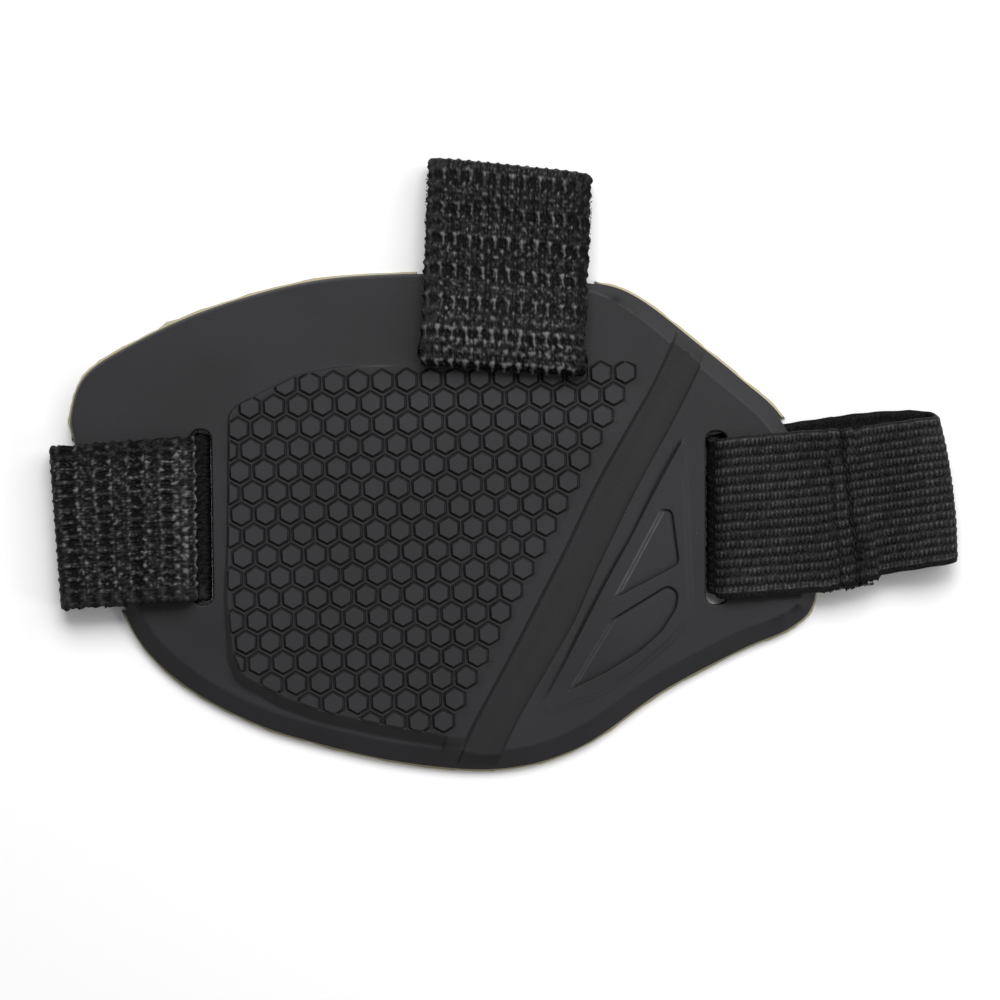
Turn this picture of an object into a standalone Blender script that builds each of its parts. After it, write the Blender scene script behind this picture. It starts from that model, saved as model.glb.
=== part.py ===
"""Strap-on rubber pad that shields the top of a shoe or boot from a gear lever.

A moulded rubber pad lies flat with its studded front up. Three sewn fabric loops are threaded
through slots near its edge, and each goes round the bridge of rubber between its slot and the
edge: thick webbing at the left and at the top, knitted elastic at the right. The loops carry the
strap that goes round the foot.

Metres, +Z up, +X to the elastic side, +Y to the top loop. The origin is on the pad's flat back.
"""

import math

import bmesh
import bpy
from mathutils import Matrix, Vector

MM = 0.001

# ---- heights above the flat back, in metres ----
FLASH_TOP = 0.0006  # thin mould flash round the foot of the edge
WALL_TOP = 0.0018  # upright part of the edge, below the bevel
PAD_TOP = 0.0042
PLATFORM_TOP = 0.0047  # slightly raised field that carries the studs
STUD_TOP = 0.0053
CHANNEL_FLOOR = 0.0036
WINDOW_FLOOR = 0.0041
RECESS_TOP = 0.0022  # ceiling of the seats for the straps in the pad's back
FLASH_REACH = 0.0005

# ---- slots ----
SLOT_LENGTH = 0.0411
SLOT_WIDTH = 0.0050
SLOT_CORNER = 0.0015
SLOT_STEPS = 4  # sides in each rounded corner
SEAT_START = 0.0007  # the seats under the bridges run from here, measured out from the slot
SEAT_END = 0.0400
SEAT_MARGIN = 0.0004  # and are this much longer than the slot at each end

# ---- straps ----
WEBBING_WIDTH = 0.0384
WEBBING = 0.0018
ELASTIC_WIDTH = 0.0362
ELASTIC = 0.0014
THREAD_RADIUS = 0.00035
GAP = 0.0003

# Slot centre in mm, angle of the outward direction from +X, and the strap's lean off it, in degrees.
LEFT = {"centre": (-70.1, -4.1), "angle": 180.8, "lean": 3.5}
TOP = {"centre": (0.6, 33.6), "angle": 86.0, "lean": 1.7}
RIGHT = {"centre": (50.8, -4.2), "angle": 0.0, "lean": 7.6}

# Hinge lines where the long loops bend at the pad's edge: distance out from the slot, and height.
TOP_HINGE = Vector((0.0220, 0.0, 0.0035))
ELASTIC_HINGE = Vector((0.0258, 0.0, 0.0035))
STRETCH_AT = 0.0368  # where the elastic's free stretch begins, out from the slot

# ---- studs ----
STUD_PITCH = 0.00576
STUD_ACROSS = 0.0044  # across the flats, at the foot
STUD_TAPER = 0.93
STUD_FIELD_TURN = math.radians(2.1)
STUD_START = Vector((-44.9, 27.5, 0.0)) * MM
STUD_EDGE = 0.0003  # studs stop this far inside the platform's edge
STUD_CLEAR = 0.0040  # whole studs only, with this much room to the channel

# The edge, clockwise from the top of the left side, in mm: x, y and the bevel's width there.
EDGE = [
    (-100.3, 14.1, 0.6), (-101.0, 20.0, 0.6), (-97.9, 28.9, 0.6), (-88.6, 35.6, 0.6),
    (-70.5, 44.2, 0.6), (-47.0, 51.0, 0.6), (-25.9, 53.1, 0.6), (0.0, 53.0, 0.6),
    (21.6, 51.2, 2.0), (32.7, 47.4, 3.6), (47.0, 36.4, 4.0), (56.4, 28.7, 4.0),
    (66.2, 19.6, 4.0), (72.4, 5.9, 3.4), (74.0, -8.0, 3.0), (73.9, -23.6, 3.0),
    (68.2, -30.1, 3.6), (56.8, -35.1, 4.0), (37.9, -45.1, 4.0), (19.0, -58.0, 4.2),
    (0.0, -63.2, 4.2), (-23.5, -61.6, 4.2), (-47.1, -56.1, 4.0), (-71.7, -45.2, 4.0),
    (-80.9, -37.8, 3.9), (-87.1, -29.1, 3.6), (-92.5, -14.0, 1.5), (-97.5, 1.0, 0.6),
]
EDGE_STEPS = 4

# Left and right edges of the diagonal channel, from the top down.
CHANNEL_LEFT = [
    (46.0, 50.0), (41.6, 39.5), (32.9, 21.2), (14.1, -11.3), (4.7, -30.6), (-15.0, -69.0),
]
CHANNEL_RIGHT = [
    (56.0, 50.0), (47.5, 32.9), (32.9, 4.7), (23.5, -12.9), (14.1, -32.9), (4.7, -48.2),
    (-4.0, -70.0),
]
# Edge of the stud platform; its right side runs into the channel, which trims it.
PLATFORM = [
    (-63.5, 20.0), (-61.5, 22.3), (-47.0, 29.4), (-38.0, 31.0), (26.0, 30.8), (29.6, 28.6),
    (31.2, 24.0), (36.0, 21.0), (8.0, -31.0), (-8.0, -60.0), (-12.5, -55.3), (-23.5, -53.6),
    (-35.3, -50.5), (-47.0, -47.0), (-60.4, -40.4), (-63.9, -23.5),
]
# Raised three-cornered panel between the channel and the elastic's slot, and its two windows.
PANEL = [
    (43.4, 14.4), (44.2, 10.0), (45.1, -23.5), (44.4, -28.6), (40.0, -32.9), (32.9, -38.8),
    (23.5, -44.7), (10.6, -47.6), (23.5, -21.2), (36.4, 2.4),
]
WINDOWS = [
    [(38.5, -2.6), (41.4, -15.3), (26.3, -22.8)],
    [(25.9, -27.7), (38.8, -20.4), (41.6, -22.3), (40.4, -27.0), (35.3, -32.9), (27.0, -37.6),
     (16.0, -44.7), (17.4, -41.0)],
]

# Side views of the straps' middles: distance out from the slot and height above the back, in mm.
LEFT_PATH = [
    (24.0, 0.9), (14.0, 0.9), (4.5, 0.9), (1.6, 0.9), (-0.5, 1.2), (-1.1, 2.3), (-0.4, 3.5),
    (0.7, 4.6), (1.5, 6.1), (3.2, 7.8), (6.2, 8.6), (11.0, 8.3), (18.0, 7.5), (29.8, 7.4),
    (32.5, 6.3), (33.4, 4.1), (32.5, 1.9), (29.8, 0.9),
]
LEFT_REACH = 0.0334
TOP_ROOT_PATH = [
    (19.4, 7.2), (14.0, 8.2), (8.0, 9.3), (3.5, 9.6), (-0.2, 8.9), (-1.9, 7.4), (-1.2, 5.8),
    (0.6, 4.5), (1.2, 3.3), (1.25, 2.3), (1.9, 1.15), (4.5, 0.9), (12.0, 0.9), (19.4, 0.9),
]
TOP_TIP_PATH = [
    (25.2, 7.3), (30.0, 7.1), (33.0, 7.1), (36.0, 7.1), (39.4, 7.1), (42.5, 6.2), (43.5, 4.0),
    (42.7, 1.9), (40.0, 0.9), (33.0, 0.9), (25.2, 0.9),
]
TOP_LAP_PATH = [(25.2, 3.0), (32.2, 3.0)]
ELASTIC_ROOT_PATH = [
    (23.0, 6.2), (17.0, 5.8), (10.0, 6.0), (5.0, 6.4), (2.5, 5.8), (1.1, 4.6), (-0.5, 3.5),
    (-1.3, 2.3), (-0.8, 1.1), (1.2, 0.7), (4.5, 0.7), (12.0, 0.7), (23.0, 0.7),
]
ELASTIC_SEAM_PATH = [(27.2, 6.9), (33.8, 7.2)]
ELASTIC_LAP_PATH = [(28.2, 5.2), (36.5, 5.5)]
ELASTIC_BACK_PATH = [(27.2, 0.7), (36.5, 0.7)]
ELASTIC_TIP_PATH = [
    (36.8, 5.6), (42.0, 6.8), (47.0, 7.8), (50.6, 8.0), (53.6, 6.9), (54.6, 4.4), (53.4, 1.8),
    (50.4, 0.7), (44.0, 0.7), (36.8, 0.7),
]
PATH_STEPS = 3

# Rows of stitches across the straps: distance out from the slot, and height of the fabric there.
TOP_ROWS = [(26.6, 3.9), (30.8, 3.9)]
ELASTIC_ROWS = [(28.0, 7.65), (32.4, 7.85)]

BLACK_RUBBER = ("pad_rubber", (0.034, 0.036, 0.040), 0.62)
BLACK_WEBBING = ("strap_webbing", (0.012, 0.012, 0.013), 0.85)
BLACK_ELASTIC = ("strap_elastic", (0.014, 0.014, 0.015), 0.80)
BLACK_THREAD = ("seam_thread", (0.010, 0.010, 0.010), 0.70)


def clear_scene():
    for item in list(bpy.data.objects):
        bpy.data.objects.remove(item, do_unlink=True)


def make_collection(name):
    collection = bpy.data.collections.new(name)
    bpy.context.scene.collection.children.link(collection)
    return collection


def make_material(name, colour, roughness):
    material = bpy.data.materials.get(name) or bpy.data.materials.new(name)
    material.use_nodes = True
    shader = material.node_tree.nodes["Principled BSDF"]
    shader.inputs["Base Color"].default_value = (*colour, 1.0)
    shader.inputs["Roughness"].default_value = roughness
    shader.inputs["Metallic"].default_value = 0.0
    return material


def smooth(points, steps, closed):
    """Points along a Catmull-Rom curve through the given points, of any dimension."""
    count = len(points)
    spans = count if closed else count - 1
    result = []
    for i in range(spans):
        if closed:
            p0, p1, p2, p3 = (Vector(points[(i + k) % count]) for k in (-1, 0, 1, 2))
        else:
            p0, p1, p2, p3 = (Vector(points[min(max(i + k, 0), count - 1)]) for k in (-1, 0, 1, 2))
        for step in range(steps):
            t = step / steps
            result.append(
                0.5 * (2 * p1 + (p2 - p0) * t + (2 * p0 - 5 * p1 + 4 * p2 - p3) * t * t
                       + (3 * p1 - p0 - 3 * p2 + p3) * t ** 3)
            )
    if not closed:
        result.append(Vector(points[-1]))
    return result


def flat_curve(name, points, closed, half_depth, fill):
    """A flat poly curve in its local XY plane, swept both ways along its local Z."""
    curve = bpy.data.curves.new(name, "CURVE")
    curve.dimensions = "2D"
    curve.fill_mode = fill
    curve.extrude = half_depth
    spline = curve.splines.new("POLY")
    spline.points.add(len(points) - 1)
    for target, (x, y) in zip(spline.points, points):
        target.co = (x, y, 0.0, 1.0)
    spline.use_cyclic_u = closed
    return bpy.data.objects.new(name, curve)


def to_mesh(source, collection):
    """The curve's swept shape as a closed mesh object, which can take and be a Boolean."""
    bpy.context.scene.collection.objects.link(source)
    graph = bpy.context.evaluated_depsgraph_get()
    mesh = bpy.data.meshes.new_from_object(source.evaluated_get(graph))
    weld = bmesh.new()
    weld.from_mesh(mesh)
    bmesh.ops.remove_doubles(weld, verts=weld.verts, dist=1e-6)
    bmesh.ops.recalc_face_normals(weld, faces=weld.faces)
    weld.to_mesh(mesh)
    weld.free()
    name = source.name
    matrix = source.matrix_world.copy()
    bpy.data.objects.remove(source, do_unlink=True)
    item = bpy.data.objects.new(name, mesh)
    item.matrix_world = matrix
    collection.objects.link(item)
    return item


def plate(name, points, low, high, collection):
    """A flat outline in metres, filled and given its thickness between two heights."""
    source = flat_curve(name, points, True, (high - low) / 2, "BOTH")
    source.location.z = (low + high) / 2
    return to_mesh(source, collection)


def in_metres(points):
    return [(x * MM, y * MM) for x, y in points]


def hide_cutter(item):
    item.hide_render = True
    item.display_type = "WIRE"


def boolean(target, operation, tool):
    modifier = target.modifiers.new(tool.name, "BOOLEAN")
    modifier.operation = operation
    modifier.object = tool
    hide_cutter(tool)


def make_frame(name, slot, parent=None, location=(0.0, 0.0, 0.0), turn=0.0):
    """An empty on a strap's joint: X out of the pad along the strap, Y along the slot, Z up."""
    empty = bpy.data.objects.new(name, None)
    empty.empty_display_size = 0.005
    bpy.context.scene.collection.objects.link(empty)
    if parent is None:
        x, y = slot["centre"]
        empty.location = (x * MM, y * MM, 0.0)
        empty.rotation_euler.z = math.radians(slot["angle"])
    else:
        empty.parent = parent
        empty.location = location
        empty.rotation_euler.z = turn
    return empty


def loft(name, rings, collection):
    """Closed body through stacked rings that have one point for each other's point."""
    mesh = bmesh.new()
    layers = [[mesh.verts.new(point) for point in ring] for ring in rings]
    count = len(rings[0])
    for lower, upper in zip(layers, layers[1:]):
        for i in range(count):
            j = (i + 1) % count
            mesh.faces.new((lower[i], lower[j], upper[j], upper[i]))
    mesh.faces.new(reversed(layers[0]))
    mesh.faces.new(layers[-1])
    bmesh.ops.recalc_face_normals(mesh, faces=mesh.faces)
    data = bpy.data.meshes.new(name)
    mesh.to_mesh(data)
    mesh.free()
    item = bpy.data.objects.new(name, data)
    collection.objects.link(item)
    return item


def pad_rings():
    """The pad's edge from its foot up: flash, upright wall, and a bevel whose width varies."""
    line = [p * MM for p in smooth(EDGE, EDGE_STEPS, True)]
    count = len(line)
    foot, flash, wall, top = [], [], [], []
    for i, point in enumerate(line):
        here = Vector((point.x, point.y, 0.0))
        along = (line[(i + 1) % count] - line[i - 1]).xy.normalized()
        out = Vector((-along.y, along.x, 0.0))
        foot.append(here + out * FLASH_REACH)
        flash.append(foot[-1] + Vector((0.0, 0.0, FLASH_TOP)))
        wall.append(here + Vector((0.0, 0.0, WALL_TOP)))
        top.append(here - out * point.z + Vector((0.0, 0.0, PAD_TOP)))
    step = [Vector((p.x, p.y, FLASH_TOP)) for p in wall]
    return [foot, flash, step, wall, top]


def slot_outline():
    """Slot with rounded corners round the frame's origin: long along Y."""
    x = SLOT_WIDTH / 2 - SLOT_CORNER
    y = SLOT_LENGTH / 2 - SLOT_CORNER
    points = []
    for quarter, (side_x, side_y) in enumerate(((1, 1), (-1, 1), (-1, -1), (1, -1))):
        for step in range(SLOT_STEPS + 1):
            angle = math.pi / 2 * (quarter + step / SLOT_STEPS)
            points.append((side_x * x + SLOT_CORNER * math.cos(angle),
                           side_y * y + SLOT_CORNER * math.sin(angle)))
    return points


def in_frame(points, slot, lean=0.0):
    """Points of a slot's own frame, leaned along the slot, as points of the pad."""
    angle = math.radians(slot["angle"])
    centre = Vector(slot["centre"]) * MM
    out = Vector((math.cos(angle), math.sin(angle)))
    along = Vector((-out.y, out.x))
    return [tuple(centre + out * u + along * (v + u * math.tan(lean))) for u, v in points]


def strap_seat(slot):
    """Outline of the seat under a bridge, from inside the slot to past the edge."""
    half = SLOT_LENGTH / 2 + SEAT_MARGIN
    corners = [(SEAT_START, -half), (SEAT_END, -half), (SEAT_END, half), (SEAT_START, half)]
    return in_frame(corners, slot, math.radians(slot["lean"]))


def channel_distance(point):
    """How far a point lies to the left of the channel's left edge."""
    best = math.inf
    for start, end in zip(CHANNEL_LEFT, CHANNEL_LEFT[1:]):
        a = Vector(start) * MM
        along = Vector(end) * MM - a
        t = min(max((point - a).dot(along) / along.length_squared, 0.0), 1.0)
        offset = point - (a + along * t)
        side = -1.0 if along.x * offset.y - along.y * offset.x > 0.0 else 1.0
        if offset.length < abs(best):
            best = side * offset.length
    return best


def stud_places():
    """A honeycomb over the platform, up to the last whole stud before the channel."""
    right = Matrix.Rotation(STUD_FIELD_TURN, 2) @ Vector((STUD_PITCH, 0.0))
    down = Matrix.Rotation(STUD_FIELD_TURN - math.radians(60), 2) @ Vector((STUD_PITCH, 0.0))
    for row in range(-1, 18):
        for column in range(-16, 16):
            place = STUD_START.xy + right * column + down * row
            inside = -0.067 < place.x < 0.034 and -0.060 < place.y < 0.034
            if inside and channel_distance(place) > STUD_CLEAR:
                yield place


def make_studs(collection):
    low = PAD_TOP + (PLATFORM_TOP - PAD_TOP) / 2
    radius = STUD_ACROSS / math.sqrt(3)
    mesh = bmesh.new()
    for place in stud_places():
        middle = Vector((place.x, place.y, (low + STUD_TOP) / 2))
        turn = Matrix.Rotation(STUD_FIELD_TURN, 4, "Z")
        bmesh.ops.create_cone(
            mesh, cap_ends=True, segments=6, radius1=radius, radius2=radius * STUD_TAPER,
            depth=STUD_TOP - low, matrix=Matrix.Translation(middle) @ turn,
        )
    data = bpy.data.meshes.new("studs")
    mesh.to_mesh(data)
    mesh.free()
    studs = bpy.data.objects.new("studs", data)
    collection.objects.link(studs)
    middle = Vector((-0.020, -0.012))
    field = [middle + (p - middle) * (1.0 - STUD_EDGE / 0.04) for p in map(Vector, in_metres(PLATFORM))]
    boolean(studs, "INTERSECT", plate("stud_field", field, PAD_TOP, 2 * STUD_TOP, collection))
    return studs


def make_pad(parts, cutters):
    pad = loft("shield_pad", pad_rings(), parts)
    raised = [("stud_platform", PLATFORM), ("side_panel", PANEL)]
    for name, outline in raised:
        tool = plate(name, in_metres(outline), PAD_TOP - 0.0003, PLATFORM_TOP, cutters)
        boolean(pad, "UNION", tool)
    channel = in_metres(CHANNEL_LEFT + CHANNEL_RIGHT[::-1])
    boolean(pad, "DIFFERENCE", plate("channel", channel, CHANNEL_FLOOR, 2 * STUD_TOP, cutters))
    for number, outline in enumerate(WINDOWS, 1):
        tool = plate(f"window_{number}", in_metres(outline), WINDOW_FLOOR, 2 * STUD_TOP, cutters)
        boolean(pad, "DIFFERENCE", tool)
    boolean(pad, "UNION", make_studs(cutters))
    for name, slot in (("left", LEFT), ("top", TOP), ("right", RIGHT)):
        hole = in_frame(slot_outline(), slot)
        boolean(pad, "DIFFERENCE", plate(name + "_slot", hole, -STUD_TOP, 2 * STUD_TOP, cutters))
        seat = plate(name + "_strap_seat", strap_seat(slot), -STUD_TOP, RECESS_TOP, cutters)
        boolean(pad, "DIFFERENCE", seat)
    pad.data.materials.append(make_material(*BLACK_RUBBER))
    return pad


def fan_out(mesh, lean, reach):
    """Turns a strap that leaves its slot square until, at the given reach, it has its full lean."""
    for vertex in mesh.vertices:
        u, v, _ = vertex.co
        turn = lean * min(max(u / reach, 0.0), 1.0)
        vertex.co.x = u - v * math.sin(turn)
        vertex.co.y = u * math.tan(lean) + v * math.cos(turn)


def ribbon(name, path, width, thickness, finish, parent, parts, closed=False, lean=0.0, reach=1.0):
    """A strap: its side view swept across its width, with its thickness from Solidify.

    It never dips below the surface that the pad lies on.
    """
    line = [p * MM for p in smooth(path, PATH_STEPS if len(path) > 2 else 1, closed)]
    line = [(p.x, max(p.y, thickness / 2)) for p in line]
    strap = to_mesh(flat_curve(name, line, closed, width / 2, "NONE"), parts)
    strap.data.transform(Matrix.Rotation(math.radians(90), 4, "X"))
    fan_out(strap.data, lean, reach)
    solid = strap.modifiers.new("thickness", "SOLIDIFY")
    solid.thickness = thickness
    solid.offset = 0.0
    solid.use_even_offset = True
    strap.data.materials.append(make_material(*finish))
    strap.parent = parent
    return strap


def stitch_row(name, place, width, parent, parts):
    """One sewn row of thread that lies across the strap, just clear of the fabric."""
    distance, height = (value * MM for value in place)
    curve = bpy.data.curves.new(name, "CURVE")
    curve.dimensions = "3D"
    curve.bevel_depth = THREAD_RADIUS
    curve.bevel_resolution = 1
    curve.use_fill_caps = True
    spline = curve.splines.new("POLY")
    spline.points.add(1)
    for target, side in zip(spline.points, (-1, 1)):
        target.co = (distance, side * (width / 2 - 0.001), height + GAP + THREAD_RADIUS, 1.0)
    row = to_mesh(bpy.data.objects.new(name, curve), parts)
    row.data.materials.append(make_material(*BLACK_THREAD))
    row.parent = parent
    return row


def hinge_frame(name, slot, shift, hinge):
    """Frame on the line where a loop bends at the pad's edge, turned to the strap's own lean."""
    lean = math.radians(slot["lean"])
    place = hinge + Vector((0.0, hinge.x * math.tan(lean), 0.0))
    return make_frame(name, slot, shift, place, lean)


def from_slot(items, hinge):
    """Straps drawn from the slot outwards are set back to their place under a hinge frame."""
    for item in items:
        item.location = -hinge


def make_left_loop(parts):
    shift = make_frame("left_loop_frame", LEFT)
    ribbon("left_loop", LEFT_PATH, WEBBING_WIDTH, WEBBING, BLACK_WEBBING, shift, parts,
           closed=True, lean=math.radians(LEFT["lean"]), reach=LEFT_REACH)


def make_top_loop(parts):
    shift = make_frame("top_loop_frame", TOP)
    hinge = hinge_frame("top_loop_hinge", TOP, shift, TOP_HINGE)
    ribbon("top_loop_root", TOP_ROOT_PATH, WEBBING_WIDTH, WEBBING, BLACK_WEBBING, shift, parts,
           lean=math.radians(TOP["lean"]), reach=TOP_HINGE.x)
    items = [
        ribbon("top_loop_tip", TOP_TIP_PATH, WEBBING_WIDTH, WEBBING, BLACK_WEBBING, hinge, parts),
        ribbon("top_loop_lap", TOP_LAP_PATH, WEBBING_WIDTH, WEBBING, BLACK_WEBBING, hinge, parts),
    ]
    for number, place in enumerate(TOP_ROWS, 1):
        items.append(stitch_row(f"top_stitch_row_{number}", place, WEBBING_WIDTH, hinge, parts))
    from_slot(items, TOP_HINGE)


def make_elastic_loop(parts):
    shift = make_frame("elastic_loop_frame", RIGHT)
    hinge = hinge_frame("elastic_loop_hinge", RIGHT, shift, ELASTIC_HINGE)
    stretch = make_frame("elastic_stretch_frame", RIGHT, hinge, (STRETCH_AT - ELASTIC_HINGE.x, 0.0, 0.0))
    ribbon("elastic_loop_root", ELASTIC_ROOT_PATH, ELASTIC_WIDTH, ELASTIC, BLACK_ELASTIC, shift, parts,
           lean=math.radians(RIGHT["lean"]), reach=ELASTIC_HINGE.x)
    middle = [
        ("elastic_loop_seam", ELASTIC_SEAM_PATH),
        ("elastic_loop_lap", ELASTIC_LAP_PATH),
        ("elastic_loop_back", ELASTIC_BACK_PATH),
    ]
    items = [
        ribbon(name, path, ELASTIC_WIDTH, ELASTIC, BLACK_ELASTIC, hinge, parts) for name, path in middle
    ]
    for number, place in enumerate(ELASTIC_ROWS, 1):
        items.append(stitch_row(f"elastic_stitch_row_{number}", place, ELASTIC_WIDTH, hinge, parts))
    from_slot(items, ELASTIC_HINGE)
    tip = ribbon("elastic_loop_tip", ELASTIC_TIP_PATH, ELASTIC_WIDTH, ELASTIC, BLACK_ELASTIC, stretch, parts)
    from_slot([tip], Vector((STRETCH_AT, 0.0, ELASTIC_HINGE.z)))


def main():
    clear_scene()
    parts = make_collection("gear_shift_pad")
    cutters = make_collection("cutters")
    make_pad(parts, cutters)
    make_left_loop(parts)
    make_top_loop(parts)
    make_elastic_loop(parts)


main()
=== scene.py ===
"""Looks for the strap-on rubber pad that shields a shoe from a gear lever.

The moulded pad, the two webbing loops and the elastic loop are modelled here in full detail and
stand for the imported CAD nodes. Plan positions and side views are in millimetres and become
metres as the meshes are made.
"""

import math
import random

import bmesh
import bpy
import numpy as np
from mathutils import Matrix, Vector
from mathutils.geometry import delaunay_2d_cdt, tessellate_polygon

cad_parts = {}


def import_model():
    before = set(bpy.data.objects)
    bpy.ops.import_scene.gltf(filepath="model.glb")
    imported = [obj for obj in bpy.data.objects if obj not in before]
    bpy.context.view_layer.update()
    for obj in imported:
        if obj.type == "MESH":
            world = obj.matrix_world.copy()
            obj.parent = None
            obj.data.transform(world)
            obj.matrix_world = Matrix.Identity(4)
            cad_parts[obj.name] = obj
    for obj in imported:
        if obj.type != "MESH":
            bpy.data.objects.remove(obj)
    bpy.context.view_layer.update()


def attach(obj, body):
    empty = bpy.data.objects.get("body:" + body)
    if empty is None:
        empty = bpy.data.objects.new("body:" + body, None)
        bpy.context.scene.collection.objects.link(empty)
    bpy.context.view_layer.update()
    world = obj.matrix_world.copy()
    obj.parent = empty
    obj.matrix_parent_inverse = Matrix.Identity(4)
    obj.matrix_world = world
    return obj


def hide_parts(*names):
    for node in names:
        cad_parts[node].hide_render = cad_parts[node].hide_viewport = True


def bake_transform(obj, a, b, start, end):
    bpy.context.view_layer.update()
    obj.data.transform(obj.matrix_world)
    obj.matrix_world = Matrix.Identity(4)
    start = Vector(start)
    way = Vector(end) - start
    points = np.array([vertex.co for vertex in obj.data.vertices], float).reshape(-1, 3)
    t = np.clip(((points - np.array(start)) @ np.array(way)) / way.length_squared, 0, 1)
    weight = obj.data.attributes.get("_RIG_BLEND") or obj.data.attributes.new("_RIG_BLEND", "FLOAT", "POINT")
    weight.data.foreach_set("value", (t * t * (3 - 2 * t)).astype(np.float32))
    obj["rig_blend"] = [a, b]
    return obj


MM = 0.001

# ---- the pad: heights above its flat back, in mm ----
FLASH_TOP = 0.5
WALL_TOP = 1.8
PAD_TOP = 4.2
LOW_TOP = 3.5
PLATFORM_TOP = 4.7
STUD_TOP = 5.3
CHANNEL_LEFT_FLOOR = 3.95
CHANNEL_MID_FLOOR = 3.5
CHANNEL_RIGHT_FLOOR = 3.9
WINDOW_FLOOR = 4.05
SEAT_TOP = 2.2

# The edge, clockwise from the top of the left side: x, y and the bevel's width there.
EDGE = [
    (-100.3, 14.1, 0.6), (-101.0, 20.0, 0.6), (-97.9, 28.9, 0.6), (-88.6, 35.6, 0.6),
    (-70.5, 44.2, 0.6), (-47.0, 51.0, 0.6), (-25.9, 53.1, 0.6), (0.0, 53.0, 0.6),
    (21.6, 51.2, 2.0), (32.7, 47.4, 3.6), (47.0, 36.4, 4.0), (56.4, 28.7, 4.0),
    (66.2, 19.6, 4.0), (72.4, 5.9, 3.4), (74.0, -8.0, 3.0), (73.9, -23.6, 3.0),
    (68.2, -30.1, 3.6), (56.8, -35.1, 4.0), (37.9, -45.1, 4.0), (19.0, -58.0, 4.2),
    (0.0, -63.2, 4.2), (-23.5, -61.6, 4.2), (-47.1, -56.1, 4.0), (-59.9, -51.5, 4.0),
    (-71.7, -45.2, 4.0), (-80.9, -37.8, 3.9), (-87.1, -29.1, 3.6), (-92.5, -14.0, 1.5),
    (-97.5, 1.0, 0.6),
]
CHANNEL_LEFT = [
    (46.0, 50.0), (41.6, 39.5), (36.0, 27.2), (29.8, 16.2), (22.2, 2.6), (15.7, -11.0),
    (10.4, -21.4), (3.5, -34.8), (-6.0, -52.4), (-9.0, -59.0), (-13.5, -69.0),
]
CHANNEL_RIGHT = [
    (56.0, 50.0), (47.5, 32.9), (40.2, 18.3), (31.9, 3.1), (22.5, -16.2), (17.2, -28.2),
    (10.8, -39.5), (4.2, -51.0), (-0.5, -60.9), (-4.5, -70.0),
]
PLATFORM = [
    (-63.5, 20.0), (-61.5, 22.3), (-47.0, 29.4), (-38.0, 31.0), (26.0, 32.8), (34.0, 32.0),
    (40.0, 27.0), (36.0, 12.0), (8.0, -31.0), (-4.0, -55.6), (-11.6, -55.4),
    (-26.5, -52.9), (-41.4, -49.6), (-50.0, -46.5), (-60.4, -41.0), (-62.6, -36.0), (-63.9, -23.5),
]
# The end of the platform beside the channel, where its long slope stops short.
SPUR = [(-11.2, -53.0), (-4.0, -53.0), (-4.0, -68.0), (-16.0, -68.0), (-13.0, -57.4)]
PANEL = [
    (42.8, 14.4), (43.6, 12.0), (45.3, -23.5), (43.8, -28.9), (40.9, -33.1), (30.3, -42.3),
    (24.0, -46.0), (10.4, -51.0), (10.4, -47.6), (23.5, -21.6), (36.4, 2.4),
]
# Each window: its slanted left side from the top down, and its other sides from there round.
WINDOWS = [
    {"left": [(37.6, -2.2), (26.3, -23.4)],
     "others": [(33.0, -2.2), (40.4, -2.2), (42.1, -15.0), (21.9, -25.7)]},
    {"left": [(25.9, -28.2), (15.8, -44.9)],
     "others": [(21.6, -30.8), (39.4, -19.9), (41.9, -21.6), (41.4, -25.4), (37.9, -30.9),
                (32.9, -35.4), (25.1, -40.3), (11.3, -47.1)]},
]
WINDOW_STEP = 0.5
WINDOW_TREAD = 0.25
WINDOW_WALL = 0.45
PANEL_LEFT = [
    (44.5, 17.4), (42.8, 14.2), (37.1, 4.2), (31.2, -7.8), (26.1, -16.9), (21.2, -26.1),
    (14.6, -39.2), (10.4, -47.2), (6.6, -55.8),
]
EDGE_STEPS = 8
LINE_STEPS = 4
FLASH_REACH = 0.7

SLOPE_STEP = 0.01

STUD_PITCH = 5.70
STUD_ROW = 5.01
STUD_ACROSS = 4.60
STUD_WALL = 0.28
STUD_FIELD_TURN = math.radians(2.1)
STUD_START = (-44.7, 27.2)
STUD_CLEAR = 4.0
STUD_CUT = 0.35
# Towards a stud's middle from its lower left side, away from the light, where the moat's painted shade is
# heaviest.
FAR_SIDE_STEP = (0.3, 0.18)
STUD_KEPT = -1.0
MOAT = 0.36
MOAT_WALL = 0.20
MOAT_DEPTH = 0.34
MOAT_GUARD = 0.12
STUD_INSETS = (
    -MOAT - MOAT_GUARD, -MOAT, MOAT_WALL - MOAT, 0.0, 0.8 * STUD_WALL, STUD_WALL, 1.3 * STUD_WALL, 0.8,
)

SLOT_WIDTH = 5.0
SLOT_CORNER = 2.2
SLOT_LIP = 0.5
SPUR_WALL = 0.4
SEAT_START = 0.7
SEAT_END = 40.0
SEAT_MARGIN = 0.4

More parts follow.
